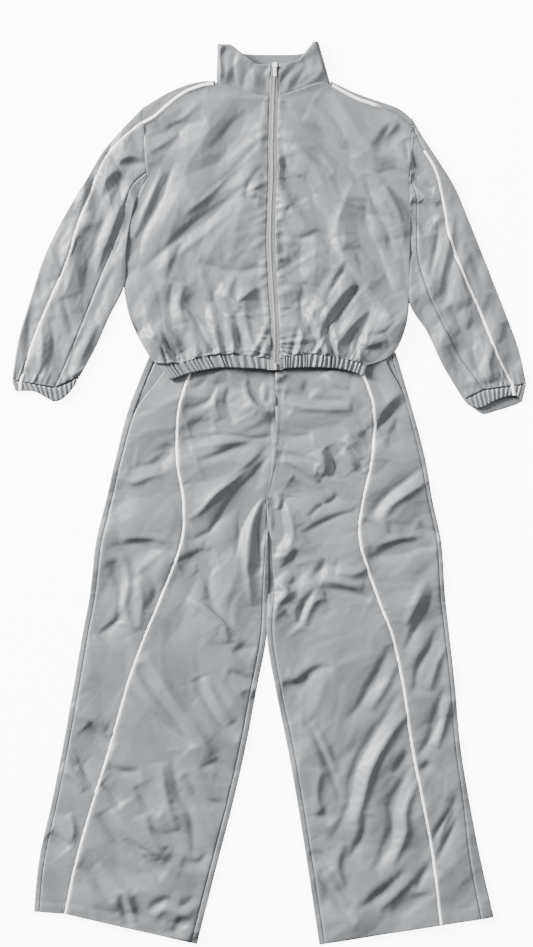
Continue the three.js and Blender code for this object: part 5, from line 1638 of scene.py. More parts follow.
@dataclass
class Sleeve:
    """One sleeve: a front between the piping and the underarm seam, and a back rolled round it."""

    side: Side
    sections: dict[str, list[Point]]
    creases: Sequence[Fold]
    wardrobe: Wardrobe
    rows: int = 152
    seams: tuple[int, ...] = (12, 40, 52)  # columns of piping, underarm seam, inner edge
    sheet: ClothSheet = field(init=False)

    def __post_init__(self) -> None:
        """Lays out and settles the upper layer."""
        lines = {name: edge_rows(points, self.rows) for name, points in self.sections.items()}
        self.inwards = headings(lines["outer"], lines["inner"])
        stops = [lines["outer"] + self.inwards * SIDE_ROLL, lines["piping"], lines["underarm"],
                 lines["inner"] - self.inwards * SIDE_ROLL]
        self.sheet = sheet = ClothSheet(
            plan_across(stops, self.seams), Garment.SLEEVE, self.creases,
            SLEEVE_CRUMPLES[self.side], SEED + (13 if self.side is Side.LEFT else 11),
            seams=self.seams[:2], tied_rows=(0, -1),
        )
        sheet.settle()
        piping, underarm, _ = self.seams
        for column in (piping, underarm):
            sheet.pucker(sheet.points[::5, column, :2].copy(), SLEEVE_SEAM_WRINKLES, column)
        sheet.pucker(sheet.points[-1, ::4, :2].copy(), CUFF_FLUTES, 5)
        sheet.pucker(sheet.points[0, ::4, :2].copy(), ARMHOLE_WRINKLES, 6)
        sheet.groove(piping, depth=1.2, reach=2.6)
        sheet.groove(underarm, depth=1.0)

    def build(self) -> list[bpy.types.Object]:
        """Makes the sleeve's pieces.

        Returns:
            Front, back and piping.
        """
        piping, underarm, _ = self.seams
        points = self.sheet.points
        flat = np.zeros(len(points))
        a, b = points[:, 0, :2], points[:, -1, :2]
        place = mix(a[:, None], b[:, None], np.linspace(0, 1, 9)[None, :, None])
        under = np.dstack([place, np.zeros(place.shape[:2])])
        grid = np.concatenate([
            apart(points[:, piping::-1], last=False),
            roll(points[:, 0], self.inwards, flat, DOWN_TURNS),
            under[:, 1:],
            roll(points[:, -1], -self.inwards, flat, DOWN_TURNS)[:, -2::-1],
            apart(points[:, : underarm - 1 : -1], first=False),
        ], axis=1)
        grid = self.tucked(grid)
        name, cloth = f"sleeve_{self.side.value}", self.wardrobe.cloth
        back = sew(f"{name}_back", grid, cloth, merge=0.02)
        front_grid = self.tucked(apart(points[:, piping : underarm + 1]))
        front = sew(f"{name}_front", front_grid, cloth)
        end = SLEEVE_ENDS[self.side]
        line = points[1:, piping]
        tail = np.array([[*end[0], line[-1, 2] + 1.2], [*end[1], line[-1, 2] + 0.8]])
        cord = Piping(f"piping_{name}", np.vstack([line, tail])).build(self.wardrobe.piping)
        lay(back)
        lay(front)
        return [back, front, cord]

    @staticmethod
    def tucked(grid: Array) -> Array:
        """Adds a seam allowance at the armhole, inside the body.

        Args:
            grid: Points of a piece of the sleeve, whose first row is the armhole.

        Returns:
            The points with one row more.
        """
        ahead = grid[0] - grid[1]
        lead = grid[0] + ahead / np.linalg.norm(ahead, axis=1, keepdims=True) * 3.5
        lead[:, 2] = grid[0, :, 2] + np.where(grid[0, :, 2] > 2.0, -1.3, 0.7)
        return np.concatenate([lead[None], grid], axis=0)


@dataclass
class JacketFront:
    """One front of the jacket, from its side seam and armhole to the zip."""

    side: Side
    creases: Sequence[Fold]
    wardrobe: Wardrobe
    rows: int = 164
    columns: int = 88
    sheet: ClothSheet = field(init=False)

    def __post_init__(self) -> None:
        """Lays out and settles the front."""
        sides = edge_rows(BODY[self.side.value], self.rows, ARMPIT)
        zips = edge_rows(BODY["zip"], self.rows)
        zips = zips + np.array([self.side.outwards * FRONT_EDGE, 0.0])
        self.inwards = headings(sides, zips)
        self.folded = round(self.rows * ARMPIT / (len(BODY["zip"]) - 1))
        share = np.linspace(0, 1, self.columns + 1)
        start = SIDE_ROLL / np.linalg.norm(zips - sides, axis=1)
        along = mix(start[:, None], 1.0, share[None, :])
        top_x = mix(sides[-1, 0] - self.side.outwards * SIDE_ROLL, zips[-1, 0], share)
        v = np.linspace(0, 1, self.rows + 1)[:, None]
        plan = mix(sides[:, None], zips[:, None], along[..., None])
        top_y = mix(sides[-1, 1], zips[-1, 1], along)
        top_lift = height_of_line(YOKE_LINES[self.side], top_x)[None, :] - top_y
        hem_x = mix(sides[0, 0], zips[0, 0], along)
        hem_y = height_of_line(HEMS[self.side]["gather"], hem_x)
        hem_lift = hem_y - 0.2 - mix(sides[0, 1], zips[0, 1], along)
        plan[..., 1] += top_lift * v * v + hem_lift * np.maximum(0, 1 - v * 5)
        self.sheet = ClothSheet(
            plan, Garment.JACKET, self.creases, FRONT_CRUMPLES[self.side],
            SEED + (23 if self.side is Side.LEFT else 21),
            tied_rows=(0, -1), tied_columns=(-1,),
        )
        self.sheet.settle()
        self.trim()

    def trim(self) -> None:
        """Adds the wrinkles that the seams draw into the cloth."""
        sheet = self.sheet
        hem = sheet.points[0, ::4, :2].copy()
        zip_edge = sheet.points[::4, -1, :2].copy()
        shoulder = sheet.points[-1, ::4, :2].copy()
        armhole = sheet.points[self.folded :: 4, 0, :2].copy()
        for seed, (line, kind) in enumerate((
            (hem, HEM_GATHERS), (hem, HEM_FLUTES), (zip_edge, ZIP_GATHERS), (zip_edge, ZIP_FLUTES),
            (shoulder, FRONT_SEAM_WRINKLES), (armhole, FRONT_SEAM_WRINKLES),
        ), start=1):
            sheet.pucker(line, kind, seed)
        away = np.linalg.norm(sheet.points[..., :2] - sheet.points[:, -1:, :2], axis=2)
        sheet.points[..., 2] -= 0.45 * np.exp(-(((away - 2.6) / 0.9) ** 2))  # topstitching

    def build(self) -> list[bpy.types.Object]:
        """Makes the front and its shoulder piping.

        Returns:
            Front, piping and stitches.
        """
        points = self.sheet.points
        under = self.sheet.garment.under(points[:, 0, :2])
        turns = (180, 162, 144, 126, 108)
        rolled = roll(points[:, 0], self.inwards, under, turns)
        share = np.linspace(-0.3, 0.85, len(turns))[None, :, None]
        border = points[:, :1, :2]
        level = mix(border - self.inwards[:, None] * SIDE_ROLL, border, share)
        dip = points[:, 0, 2][:, None] - 1.1 * (1 - share[..., 0]) ** 2
        fold = 1 - smooth((np.arange(len(points)) - self.folded + 2) / 4.0)[:, None, None]
        edge = mix(np.dstack([level, dip]), rolled, fold)
        turned = points[:, -1:] + np.array([[[-self.side.outwards * 0.5, 0, -0.9]]])
        grid = np.concatenate([edge, points, turned], axis=1)
        name = f"jacket_front_{self.side.value}"
        front = sew(name, grid, self.wardrobe.cloth, up=20)
        line = points[-1]
        keep = (line[:, 0] - PIPED_TO[self.side]) * self.side.outwards > 1.0
        armhole = YOKE_LINES[self.side][0 if self.side is Side.RIGHT else -1]
        first = np.array([[*armhole, line[0, 2]]])
        cord = Piping(f"piping_shoulder_{self.side.value}", np.vstack([first, line[keep]])).build(
            self.wardrobe.piping)
        thread = lay_stitches(f"{name}_stitches", [points[1:-1, -2]], self.wardrobe.thread)
        lay(front)
        return [front, cord, thread]


@dataclass
class JacketBack:
    """The jacket's back, folded forward over both shoulders to the piped seams."""

    wardrobe: Wardrobe
    rows: int = 82
    shoulder_steps: int = 32
    neck_steps: int = 24

    def columns(self) -> Array:
        """Lays out the panel's columns, from the right armhole to the left one.

        Returns:
            Their x at the shoulders.
        """
        right = np.linspace(BODY["right"][-1][0] + SIDE_ROLL, PIPED_RIGHT, self.shoulder_steps + 1)
        left = np.linspace(PIPED_LEFT, BODY["left"][-1][0] - SIDE_ROLL, self.shoulder_steps + 1)
        neck = np.linspace(PIPED_RIGHT, PIPED_LEFT, self.neck_steps + 1)
        return np.concatenate([right, neck[1:-1], left])

    def build(self) -> bpy.types.Object:
        """Makes the back.

        Returns:
            The piece.
        """
        x = self.columns()
        rights = edge_rows(BODY["right"], self.rows, ARMPIT)
        lefts = edge_rows(BODY["left"], self.rows, ARMPIT)
        ways = headings(rights, lefts)
        a, b = rights + ways * SIDE_ROLL, lefts - ways * SIDE_ROLL
        share = (x - x[0]) / (x[-1] - x[0])
        place = mix(a[:, None], b[:, None], share[None, :, None])
        in_neck = (x > PIPED_RIGHT + 0.01) & (x < PIPED_LEFT - 0.01)
        rim = np.where(x < 0, height_of_line(RIGHT_SHOULDER, x), height_of_line(LEFT_SHOULDER, x))
        top = np.column_stack([x, np.where(in_neck, height_of_line(BACK_NECK, x), rim - SIDE_ROLL)])
        v = np.linspace(0, 1, self.rows + 1)[:, None]
        place = place + (top - place[-1])[None] * (v**6)[..., None]
        hem = height_of_line(BACK_HEM, place[0, :, 0]) + 0.3 - place[0, :, 1]
        place[..., 1] += hem[None, :] * np.maximum(0, 1 - v * 5)
        low = Garment.JACKET.grid_under(place)
        under = np.dstack([place, low])
        draft = MeshDraft()
        draft.grid(under, flip=facing_up(under, 3))
        folded = round(self.rows * ARMPIT / (len(BODY["zip"]) - 1))
        for column, sign in ((0, 1), (-1, -1)):
            edge = under[: folded + 1, column].copy()
            edge[:, 2] = Garment.JACKET.top(edge[:, :2])
            turned = roll(edge, ways[: folded + 1] * sign, low[: folded + 1, column],
                          (184, 198, 216, 234, 252, 270))
            outward = turned[:, ::-1]
            upper = float(outward[0, -1, 2] - outward[0, 0, 2]) > 0
            draft.grid(outward, flip=(sign > 0) == upper)
            rim = (rights if column == 0 else lefts)[folded:]
            outer = np.column_stack([rim, low[folded:, column]])
            strip = np.stack([outer, under[folded:, column]], axis=1)
            draft.grid(strip, flip=facing_up(strip, 0))
        for side in Side:
            self.flap(draft, side, x, under[-1])
        back = draft.build("jacket_back_cloth", merge=0.03)
        dress(back, self.wardrobe.cloth, "jacket_back")
        lay(back)
        return back

    def flap(self, draft: MeshDraft, side: Side, x: Array, top_row: Array) -> None:
        """Adds the part that is folded forward over one shoulder.

        Args:
            draft: The mesh.
            side: Which shoulder.
            x: The panel's columns.
            top_row: The back's points along the shoulders.
        """
        mine = x <= PIPED_RIGHT + 0.01 if side is Side.RIGHT else x >= PIPED_LEFT - 0.01
        xs, row = x[mine], top_row[mine]
        rim = height_of_line(SHOULDERS[side], xs)
        seam = height_of_line(YOKE_LINES[side], xs)
        rng = np.random.default_rng(SEED + 40 + side.outwards)
        turns = np.radians(DOWN_TURNS[::-1] + (90,))
        middle = rim - SIDE_ROLL
        half = Garment.JACKET.top(np.column_stack([xs, middle])) / 2
        rows = [
            np.column_stack([xs, middle - SIDE_ROLL * math.cos(t), half * (1 + math.sin(t))])
            for t in turns
        ]
        steps = 9
        wave = soft_noise((steps + 1, len(xs)), 1.6, rng) * 0.45
        for k in range(1, steps + 1):
            t = k / steps
            y = mix(middle, seam + 0.2, t)
            height = Garment.JACKET.top(np.column_stack([xs, y])) + wave[k] * math.sin(math.pi * t)
            height -= 1.0 * np.exp(-(((y - seam) / 2.4) ** 2))
            rows.append(np.column_stack([xs, y, height]))
        grid = np.stack(rows, axis=0)
        grid[0] = row
        # Out to the sleeve's first section at the armhole
        k = 0 if side is Side.RIGHT else -1
        reach = np.array([side.outwards * (SIDE_ROLL - 0.4), 0, 0])
        parts = [(grid[:, k] + reach)[:, None], (grid[:, k] + reach / 2)[:, None], grid]
        grid = np.concatenate(parts if k == 0 else parts[::-1], axis=1)
        draft.grid(grid, flip=not facing_up(grid[-2:], 5))


@dataclass
class Collar:
    """The stand collar: one strip that turns at both ends of the neck."""

    wardrobe: Wardrobe
    rows: int = 18
    columns: int = 210

    def build(self) -> bpy.types.Object:
        """Makes the collar.

        Returns:
            The piece.
        """
        table = curve_points(COLLAR, self.columns)
        share = np.linspace(0, 1, self.rows + 1)[:, None, None]
        place = mix(table[None, :, :2], table[None, :, 2:4], share)
        turn = np.radians(np.clip(table[:, 4], 90, 270))[None, :]
        flat = place.reshape(-1, 2)
        top = Garment.JACKET.grid_top(place)
        rise = fold_height(COLLAR_FOLDS, flat).reshape(place.shape[:2])
        rng = np.random.default_rng(SEED + 50)
        rise += 0.35 * soft_noise(place.shape[:2], 2.5, rng)
        rise += COLLAR_CRUMPLE.rise(flat, rng).reshape(place.shape[:2])
        v = np.linspace(0, 1, self.rows + 1)[:, None]
        front = np.clip(np.sin(turn), 0, 1)
        height = top / 2 * (1 + np.sin(turn))
        height += rise * front * smooth(v * 5) * smooth((1 - v) * 4 + 0.4)
        # A seam's dent at the neck, a soft double edge at the rim
        height -= front * (0.9 * np.exp(-((v / 0.05) ** 2)))
        height += front * 0.5 * np.exp(-(((v - 0.94) / 0.05) ** 2))
        grid = np.dstack([place, np.maximum(height, 0.0)])
        # The seam allowance at the neck, under the fronts
        lead = grid[0] + (grid[0] - grid[1]) * 2.4
        lead[:, 2] = np.maximum(grid[0, :, 2] - 1.6 * np.clip(np.sin(turn[0]) * 2, 0, 1), 0.3)
        grid = np.concatenate([lead[None], grid], axis=0)
        collar = sew("collar", grid, self.wardrobe.cloth, up=12)
        lay(collar, thickness=0.9)
        return collar


@dataclass
class HemBand:
    """The gathered hem of the jacket, from the zip round the back to the zip."""

    wardrobe: Wardrobe
    pleats: int = 21
    rows: int = 12
    depth: float = 1.7

    def half(self, side: Side) -> Array:
        """The gathered strip of one front, from the zip outwards.

        Args:
            side: Which front.

        Returns:
            Its points, (rows, columns, 3).
        """
        steps = self.pleats * PLEAT_COLUMNS
        hem = HEMS[side]
        gather, edge = evenly(hem["gather"], steps), evenly(hem["edge"], steps)
        v = np.linspace(0, 1, self.rows + 1)[:, None]
        place = mix(gather[None], edge[None], v[..., None])
        rng = np.random.default_rng(SEED + 60 + side.outwards)
        s = np.linspace(0, 1, steps + 1)
        widths = rng.uniform(0.45, 1.6, self.pleats)
        ticks = np.concatenate([[0], np.cumsum(widths)]) / widths.sum()
        size = np.interp(s, np.linspace(0, 1, 60), rng.uniform(0.35, 1.35, 60))
        lean = np.interp(s, np.linspace(0, 1, 20), rng.uniform(-1.3, 1.3, 20))
        phase = 2 * math.pi * np.interp(s, ticks, np.arange(self.pleats + 1))
        wave = np.cos(phase[None] + lean[None] * (v - 0.5) * 2)
        merged = np.interp(s, np.linspace(0, 1, 24), rng.uniform(-0.5, 0.5, 24))[None]
        wave += 0.5 * np.cos(0.5 * phase[None] + 1.0) * (v - 0.5 + merged)
        wave = np.clip(wave, -1.3, 1.3)
        puff = 0.75 + 0.5 * np.sin(math.pi * v)
        ends = np.minimum(s, 1 - s)[None] * 20
        top = Garment.JACKET.grid_top(place)
        height = top - self.depth * 0.5 + self.depth * size[None] * wave * puff * smooth(ends)
        height -= 0.5 * np.exp(-((v / 0.08) ** 2)) + 1.0 * np.exp(-(((v - 1) / 0.07) ** 2))
        place[..., 1] += 0.36 * np.sin(phase)[None] * np.sin(math.pi * v)
        return np.dstack([place, height])

    def build(self) -> bpy.types.Object:
        """Makes the band.

        Returns:
            The piece.
        """
        halves = {side: self.half(side) for side in Side}
        draft = MeshDraft()
        ends, sizes = {}, []
        for side, grid in halves.items():
            inwards = np.tile([-float(side.outwards), 0.0], (self.rows + 1, 1))
            under = Garment.JACKET.under(grid[:, -1, :2])
            turned = roll(grid[:, -1], inwards, under, DOWN_TURNS)
            whole = np.concatenate([grid, turned], axis=1)
            draft.grid(whole, flip=not facing_up(whole, 3))
            ends[side] = turned[:, -1]
            sizes.append(grid_size(whole))
        share = np.linspace(0, 1, 61)[None, :, None]
        flat = mix(ends[Side.RIGHT][:, None], ends[Side.LEFT][:, None], share)
        gather = height_of_line(BACK_HEM, flat[0, :, 0])
        xs = flat[-1, :, 0]
        zip_x = BODY["zip"][0][0]
        edge = np.where(xs < zip_x, height_of_line(RIGHT_HEM["edge"], xs),
                        height_of_line(LEFT_HEM["edge"], xs))
        v = np.linspace(0, 1, self.rows + 1)[:, None]
        y = mix(gather[None], edge[None], v)
        y[:, 0], y[:, -1] = ends[Side.RIGHT][:, 1], ends[Side.LEFT][:, 1]
        place = np.dstack([flat[..., 0], y])
        back = np.dstack([place, Garment.JACKET.grid_under(place)])
        draft.grid(back, flip=facing_up(back, 10))
        band = draft.build("hem_band_cloth", merge=0.03)
        dress(band, self.wardrobe.cloth, "hem_band")
        lay(band)
        return band


@dataclass(frozen=True)
class CuffTable:
    """A cuff's lines: its ends at the outer and inner edge, the gathered line and two rims."""

    outer: Sequence[Point]
    inner: Sequence[Point]
    gather: Sequence[Point]
    front: Sequence[Point]
    back: Sequence[Point]


RIGHT_CUFF_RIM = [(-442, 180), (-412, 179.5), (-390, 168.5), (-374, 161.5), (-355, 172),
                  (-337, 194)]
CUFFS = {
    Side.RIGHT: CuffTable(
        outer=[(-450.6, 198.6), (-444.5, 180)],
        inner=[(-331.5, 205.6), (-334, 201)],
        gather=[(-448, 198), (-434.6, 196.6), (-405, 191), (-375, 186.6), (-352, 194),
                (-334, 205)],
        front=RIGHT_CUFF_RIM,
        back=RIGHT_CUFF_RIM,
    ),
    Side.LEFT: CuffTable(
        outer=[(451, 192.6), (443.5, 161)],
        inner=[(340, 165.6), (350, 154.5)],
        gather=[(448.6, 191.9), (426.6, 189.4), (398, 185), (376, 181.6), (358, 173),
                (342.6, 166.6)],
        front=[(441, 166), (428, 172), (402, 166), (376, 152.5), (362, 150), (352, 156)],
        back=[(441, 159.5), (420, 152), (400, 146), (376, 139.5), (362, 147.5), (352, 154.5)],
    ),
}


@dataclass
class Cuff:
    """A gathered cuff: a short tube laid flat."""

    side: Side
    wardrobe: Wardrobe
    pleats: int = 13
    rows: int = 10
    depth: float = 1.25

    def build(self) -> bpy.types.Object:
        """Makes the cuff.

        Returns:
            The piece.
        """
        table = CUFFS[self.side]
        steps = self.pleats * PLEAT_COLUMNS
        gather, rim, back_rim = (
            evenly(line, steps) for line in (table.gather, table.front, table.back)
        )
        v = np.linspace(0, 1, self.rows + 1)[:, None, None]
        place = mix(gather[None], rim[None], v)
        rng = np.random.default_rng(SEED + 70 + self.side.outwards)
        s = np.linspace(0, 1, steps + 1)
        drift = np.interp(s, np.linspace(0, 1, 16), np.cumsum(rng.uniform(-0.5, 0.5, 16)))
        size = np.interp(s, np.linspace(0, 1, 30), rng.uniform(0.5, 1.25, 30))
        wave = np.cos(2 * math.pi * self.pleats * s + 1.2 * drift) * size
        w = v[..., 0]
        puff = 0.8 + 0.4 * np.sin(math.pi * w)
        top = Garment.SLEEVE.grid_top(place)
        ends = smooth(np.minimum(s, 1 - s)[None] * 14)
        height = top - self.depth * 0.6 + self.depth * wave[None] * puff * ends
        height -= 0.9 * np.exp(-((w / 0.09) ** 2)) + 0.8 * np.exp(-(((w - 1) / 0.08) ** 2))
        front = np.dstack([place, np.maximum(height, 3.2)])
        outer_edge = mix(np.array(table.outer[0]), np.array(table.outer[1]), v[:, 0])
        inner_edge = mix(np.array(table.inner[0]), np.array(table.inner[1]), v[:, 0])
        way = headings(outer_edge, inner_edge)
        flat = np.zeros(self.rows + 1)
        a = np.column_stack([outer_edge + way * SIDE_ROLL, front[:, 1, 2]])
        b = np.column_stack([inner_edge - way * SIDE_ROLL, front[:, -2, 2]])
        roll_a = roll(a, way, flat, DOWN_TURNS[::-1] + (98,))
        roll_b = roll(b, -way, flat, (98,) + DOWN_TURNS)
        base = mix(outer_edge[0] + way[0] * SIDE_ROLL, inner_edge[0] - way[0] * SIDE_ROLL,
                   np.linspace(0, 1, steps + 1)[:, None])
        under = mix(base[None], back_rim[None], v)[:, ::-6]
        under = np.dstack([under, np.zeros(under.shape[:2])])[:, 1:-1]
        ring = np.concatenate([roll_a, front[:, 3:-3], roll_b, under], axis=1)
        name = f"cuff_{self.side.value}"
        cuff = sew(name, ring, self.wardrobe.cloth, up=len(DOWN_TURNS) + 20, ring=True)
        lay(cuff, thickness=0.8)
        return cuff


@dataclass
class Waistband:
    """The trousers' elastic waistband, hidden under the jacket's hem."""

    wardrobe: Wardrobe
    steps: int = 90

    def build(self) -> bpy.types.Object:
        """Makes the waistband.

        Returns:
            The piece.
        """
        v = np.linspace(0, 1, 7)
        y = mix(WAIST_SEAM + 0.3, WAIST_TOP, v)
        half = mix(WAIST_HALF_SEAM, WAIST_HALF_TOP, v)
        a = np.column_stack([WAIST_CENTRE - half, y])
        b = np.column_stack([WAIST_CENTRE + half, y])
        way = headings(a, b)
        share = np.linspace(0, 1, self.steps + 1)
        place = mix((a + way * SIDE_ROLL)[:, None], (b - way * SIDE_ROLL)[:, None],
                    share[None, :, None])
        ribs = 0.25 * np.sin(share * 2 * math.pi * 45)[None] * np.ones((len(v), 1))
        top = np.dstack([place, WAIST_HEIGHT - 0.3 + ribs])
        under = np.dstack([place[:, ::-10], np.zeros((len(v), len(share[::10])))])
        flat = np.zeros(len(v))
        ring = np.concatenate([
            top, roll(top[:, -1], -way, flat, DOWN_TURNS[:-1]), under,
            roll(top[:, 0], way, flat, DOWN_TURNS[-2::-1]),
        ], axis=1)
        band = sew("waistband", ring, self.wardrobe.cloth, up=5, ring=True)
        lay(band, thickness=0.8)
        return band


@dataclass
class Zip:
    """The jacket's zip: two tapes with teeth, slider, pull tab and retainer."""

    wardrobe: Wardrobe
    tooth_pitch: float = 2.0
    # Sections of a tooth: reach across the zip, half width along it, height
    tooth: Sequence[tuple[float, float, float]] = (
        (-0.7, 0.32, 0.75), (0.4, 0.42, 1.0), (2.1, 0.36, 0.85),
    )
    rows: int = 200

    def tape(self, side: Side) -> bpy.types.Object:
        """One tape, from the hem to the collar's rim.

        Args:
            side: Which tape.

        Returns:
            The piece.
        """
        line = curve_points(ZIP_LINE, self.rows)
        neck, rim = BODY["zip"][-1][1], ZIP_LINE[-1][1]
        half = mix(TAPE_HALF, TAPE_HALF_AT_RIM, np.clip((line[:, 1] - neck) / (rim - neck), 0, 1))
        share = np.linspace(0.03, 1.7, 11)
        x = line[:, :1] + side.outwards * half[:, None] * share[None]
        place = np.dstack([x, np.broadcast_to(line[:, 1:], x.shape)])
        top = Garment.JACKET.grid_top(place)
        rng = np.random.default_rng(SEED + 80 + side.outwards)
        wave = soft_noise((self.rows + 1, 1), 3.0, rng) * 0.3
        tucked = 0.9 * smooth((share[None] - 0.85) * 5)  # under the front's edge
        height = top - 0.35 + wave * share[None] * (share[None] < 0.9) * 0.6 - tucked
        grid = np.dstack([place, height])
        tape = sew(f"zip_tape_{side.value}", grid, self.wardrobe.tape, up=2)
        lay(tape, thickness=0.6)
        return tape

    def teeth(self) -> bpy.types.Object:
        """The closed teeth of both tapes, which lock into each other along the centre.

        Returns:
            The piece.
        """
        line = curve_points(ZIP_LINE, self.rows)
        run = run_along(line)
        foot = np.interp(SLIDER_FOOT, line[:, 1], run)
        draft = MeshDraft()
        for k, s in enumerate(np.arange(14.0, foot - 1.0, self.tooth_pitch / 2)):
            centre, ahead = points_at(line, run, np.array([s, s + 1]))
            way = headings(centre, ahead)
            across = np.array([way[1], -way[0]]) * (1 if k % 2 else -1)
            base = float(Garment.JACKET.top(centre[None])[0]) - 0.4
            ring = []
            for reach, half, height in self.tooth:
                low, high = centre + across * reach - way * half, centre + across * reach + way * half
                ring += [[*low, base], [*low, base + height], [*high, base + height], [*high, base]]
            draft.add(np.array(ring), BAR_FACES if k % 2 == 0 else BAR_FACES[:, ::-1])
        return dress(draft.build("zip_teeth"), self.wardrobe.plastic)

    def build(self) -> list[bpy.types.Object]:
        """Makes the tapes and teeth, and finishes the slider, tab and retainer.

        Returns:
            All the zip's pieces.
        """
        pieces = [self.tape(side) for side in Side] + [self.teeth()]
        for node, look in (("zip_slider", self.wardrobe.metal),
                           ("zip_pull_tab", self.wardrobe.metal),
                           ("zip_retainer", self.wardrobe.plastic)):
            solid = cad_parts[node]
            solid.data.materials.clear()
            solid.data.materials.append(look.material)
            pieces.append(solid)
        return pieces


@dataclass
class ShaderTree:
    """A material under construction."""

    name: str
    material: bpy.types.Material = field(init=False)

    def __post_init__(self) -> None:
        """Starts a material with one surface shader."""
        self.material = bpy.data.materials.new(self.name)
        self.material.use_nodes = True
        self.tree = self.material.node_tree
        self.surface = self.tree.nodes["Principled BSDF"]

    def node(self, kind: str, **values: float) -> bpy.types.Node:
        """Adds a node and sets its sockets.

        Args:
            kind: The node's type.
            values: Values by socket name, with _ for a space.

        Returns:
            The node.
        """
        node = self.tree.nodes.new(kind)
        for key, value in values.items():
            node.inputs[key.replace("_", " ")].default_value = value
        return node

    def link(self, source: bpy.types.NodeSocket, target: bpy.types.NodeSocket) -> None:
        """Joins two sockets."""
        self.tree.links.new(source, target)

    def place(self) -> bpy.types.NodeSocket:
        """Coordinates that stay with the cloth."""
        return self.node("ShaderNodeTexCoord").outputs["Object"]

    def grain(self, place: bpy.types.NodeSocket, **values: float) -> bpy.types.NodeSocket:
        """Adds a noise pattern.

        Args:
            place: Its coordinates.
            values: Its sockets' values.

        Returns:
            The pattern's strength.
        """
        noise = self.node("ShaderNodeTexNoise", **values)
        self.link(place, noise.inputs["Vector"])
        return noise.outputs["Fac"]

    def ramp(self, source: bpy.types.NodeSocket, spread: float, low: Colour, high: Colour,
             target: str) -> None:
        """Drives one of the surface's values by a pattern.

        Args:
            source: The pattern.
            spread: Its reach to both sides of a half.
            low: Colour or grey level at its low end.
            high: The same at its high end.
            target: The surface's socket.
        """
        ramp = self.node("ShaderNodeValToRGB")
        for element, position, colour in zip(
            ramp.color_ramp.elements, (0.5 - spread, 0.5 + spread), (low, high)
        ):
            element.position = position
            element.color = (*colour, 1.0)
        self.link(source, ramp.inputs["Fac"])
        self.link(ramp.outputs["Color"], self.surface.inputs[target])

    def relief(self, height: bpy.types.NodeSocket, strength: float, distance: float,
               before: bpy.types.NodeSocket | None = None) -> bpy.types.NodeSocket:
        """Raises the surface by a pattern.

        Args:
            height: The pattern.
            strength: Share of the relief that shows.
            distance: The relief's height, in metres.
            before: Normals of an earlier relief that this one goes on.

        Returns:
            The new normals.
        """
        bump = self.node("ShaderNodeBump", Strength=strength, Distance=distance)
        self.link(height, bump.inputs["Height"])
        if before:
            self.link(before, bump.inputs["Normal"])
        return bump.outputs["Normal"]


@dataclass(frozen=True)
class Weave:
    """A fine woven surface: thread pitch, relief and the colour's light and dark ends."""

    name: str
    light: Colour
    dark: Colour
    roughness: tuple[float, float]
    pitch: float  # metres
    relief: float  # metres
    specular: float
    crinkle: float = 0.0006  # height of the fine crinkles, in metres
    patch: float = 26.0  # scale of the uneven tone

    def material(self) -> bpy.types.Material:
        """Builds the finish.

        Returns:
            The material.
        """
        shader = ShaderTree(self.name)
        place = shader.place()
        tone = shader.grain(place, Scale=self.patch, Detail=5.0, Roughness=0.6)
        low, high = self.roughness
        shader.ramp(tone, 0.2, self.dark, self.light, "Base Color")
        shader.ramp(tone, 0.25, (low,) * 3, (high,) * 3, "Roughness")
        shader.surface.inputs["Specular IOR Level"].default_value = self.specular
        normals = None
        for direction in ("X", "Y"):
            threads = shader.node("ShaderNodeTexWave", Scale=2 * math.pi / (20 * self.pitch))
            threads.bands_direction = direction
            shader.link(place, threads.inputs["Vector"])
            normals = shader.relief(threads.outputs["Fac"], 0.5, self.relief, normals)
        crinkle = shader.grain(place, Scale=150.0, Detail=4.0, Roughness=0.55)
        normals = shader.relief(crinkle, 0.35, self.crinkle, normals)
        shader.link(normals, shader.surface.inputs["Normal"])
        return shader.material


@dataclass(frozen=True)
class Hardware:
    """A painted or moulded small part with a faintly uneven surface."""

    name: str
    light: Colour
    dark: Colour
    roughness: tuple[float, float]

    def material(self) -> bpy.types.Material:
        """Builds the finish.

        Returns:
            The material.
        """
        shader = ShaderTree(self.name)
        grain = shader.grain(shader.place(), Scale=900.0, Detail=3.0)
        low, high = self.roughness
        shader.ramp(grain, 0.15, self.dark, self.light, "Base Color")
        shader.ramp(grain, 0.2, (low,) * 3, (high,) * 3, "Roughness")
        shader.link(shader.relief(grain, 0.3, 0.00005), shader.surface.inputs["Normal"])
        return shader.material


def grey(value: float, blue: float = 0.0) -> Colour:
    """A linear grey, with a share more blue than red."""
    return (value * (1 - blue), value, value * (1 + blue))


def wardrobe() -> Wardrobe:
    """Builds the finishes of all the pieces.

    Returns:
        The finishes.
    """
    nylon = Weave("grey_nylon", grey(0.168, 0.05), grey(0.15, 0.05), (0.4, 0.5), 0.00042,
                  0.00003, 0.45)
    satin = Weave("white_piping", grey(0.97), grey(0.93), (0.45, 0.6), 0.0006, 0.00008, 0.4)
    tape = Weave("zip_tape", grey(0.22, 0.015), grey(0.18, 0.015), (0.7, 0.85), 0.0007, 0.00012,
                 0.2)
    thread = Weave("sewing_thread", grey(0.40, 0.015), grey(0.32, 0.015), (0.55, 0.7), 0.0003,
                   0.00005, 0.3)
    metal = Hardware("painted_metal", grey(0.84), grey(0.76), (0.3, 0.42))
    plastic = Hardware("white_plastic", grey(0.42), grey(0.34), (0.4, 0.55))
    return Wardrobe(
        cloth=Look(nylon.material(), "cloth"),
        piping=Look(satin.material(), "piping"),
        tape=Look(tape.material(), "zip_tape"),
        metal=Look(metal.material(), "zip_metal"),
        plastic=Look(plastic.material(), "zip_plastic"),
        thread=Look(thread.material(), "cloth"),
    )


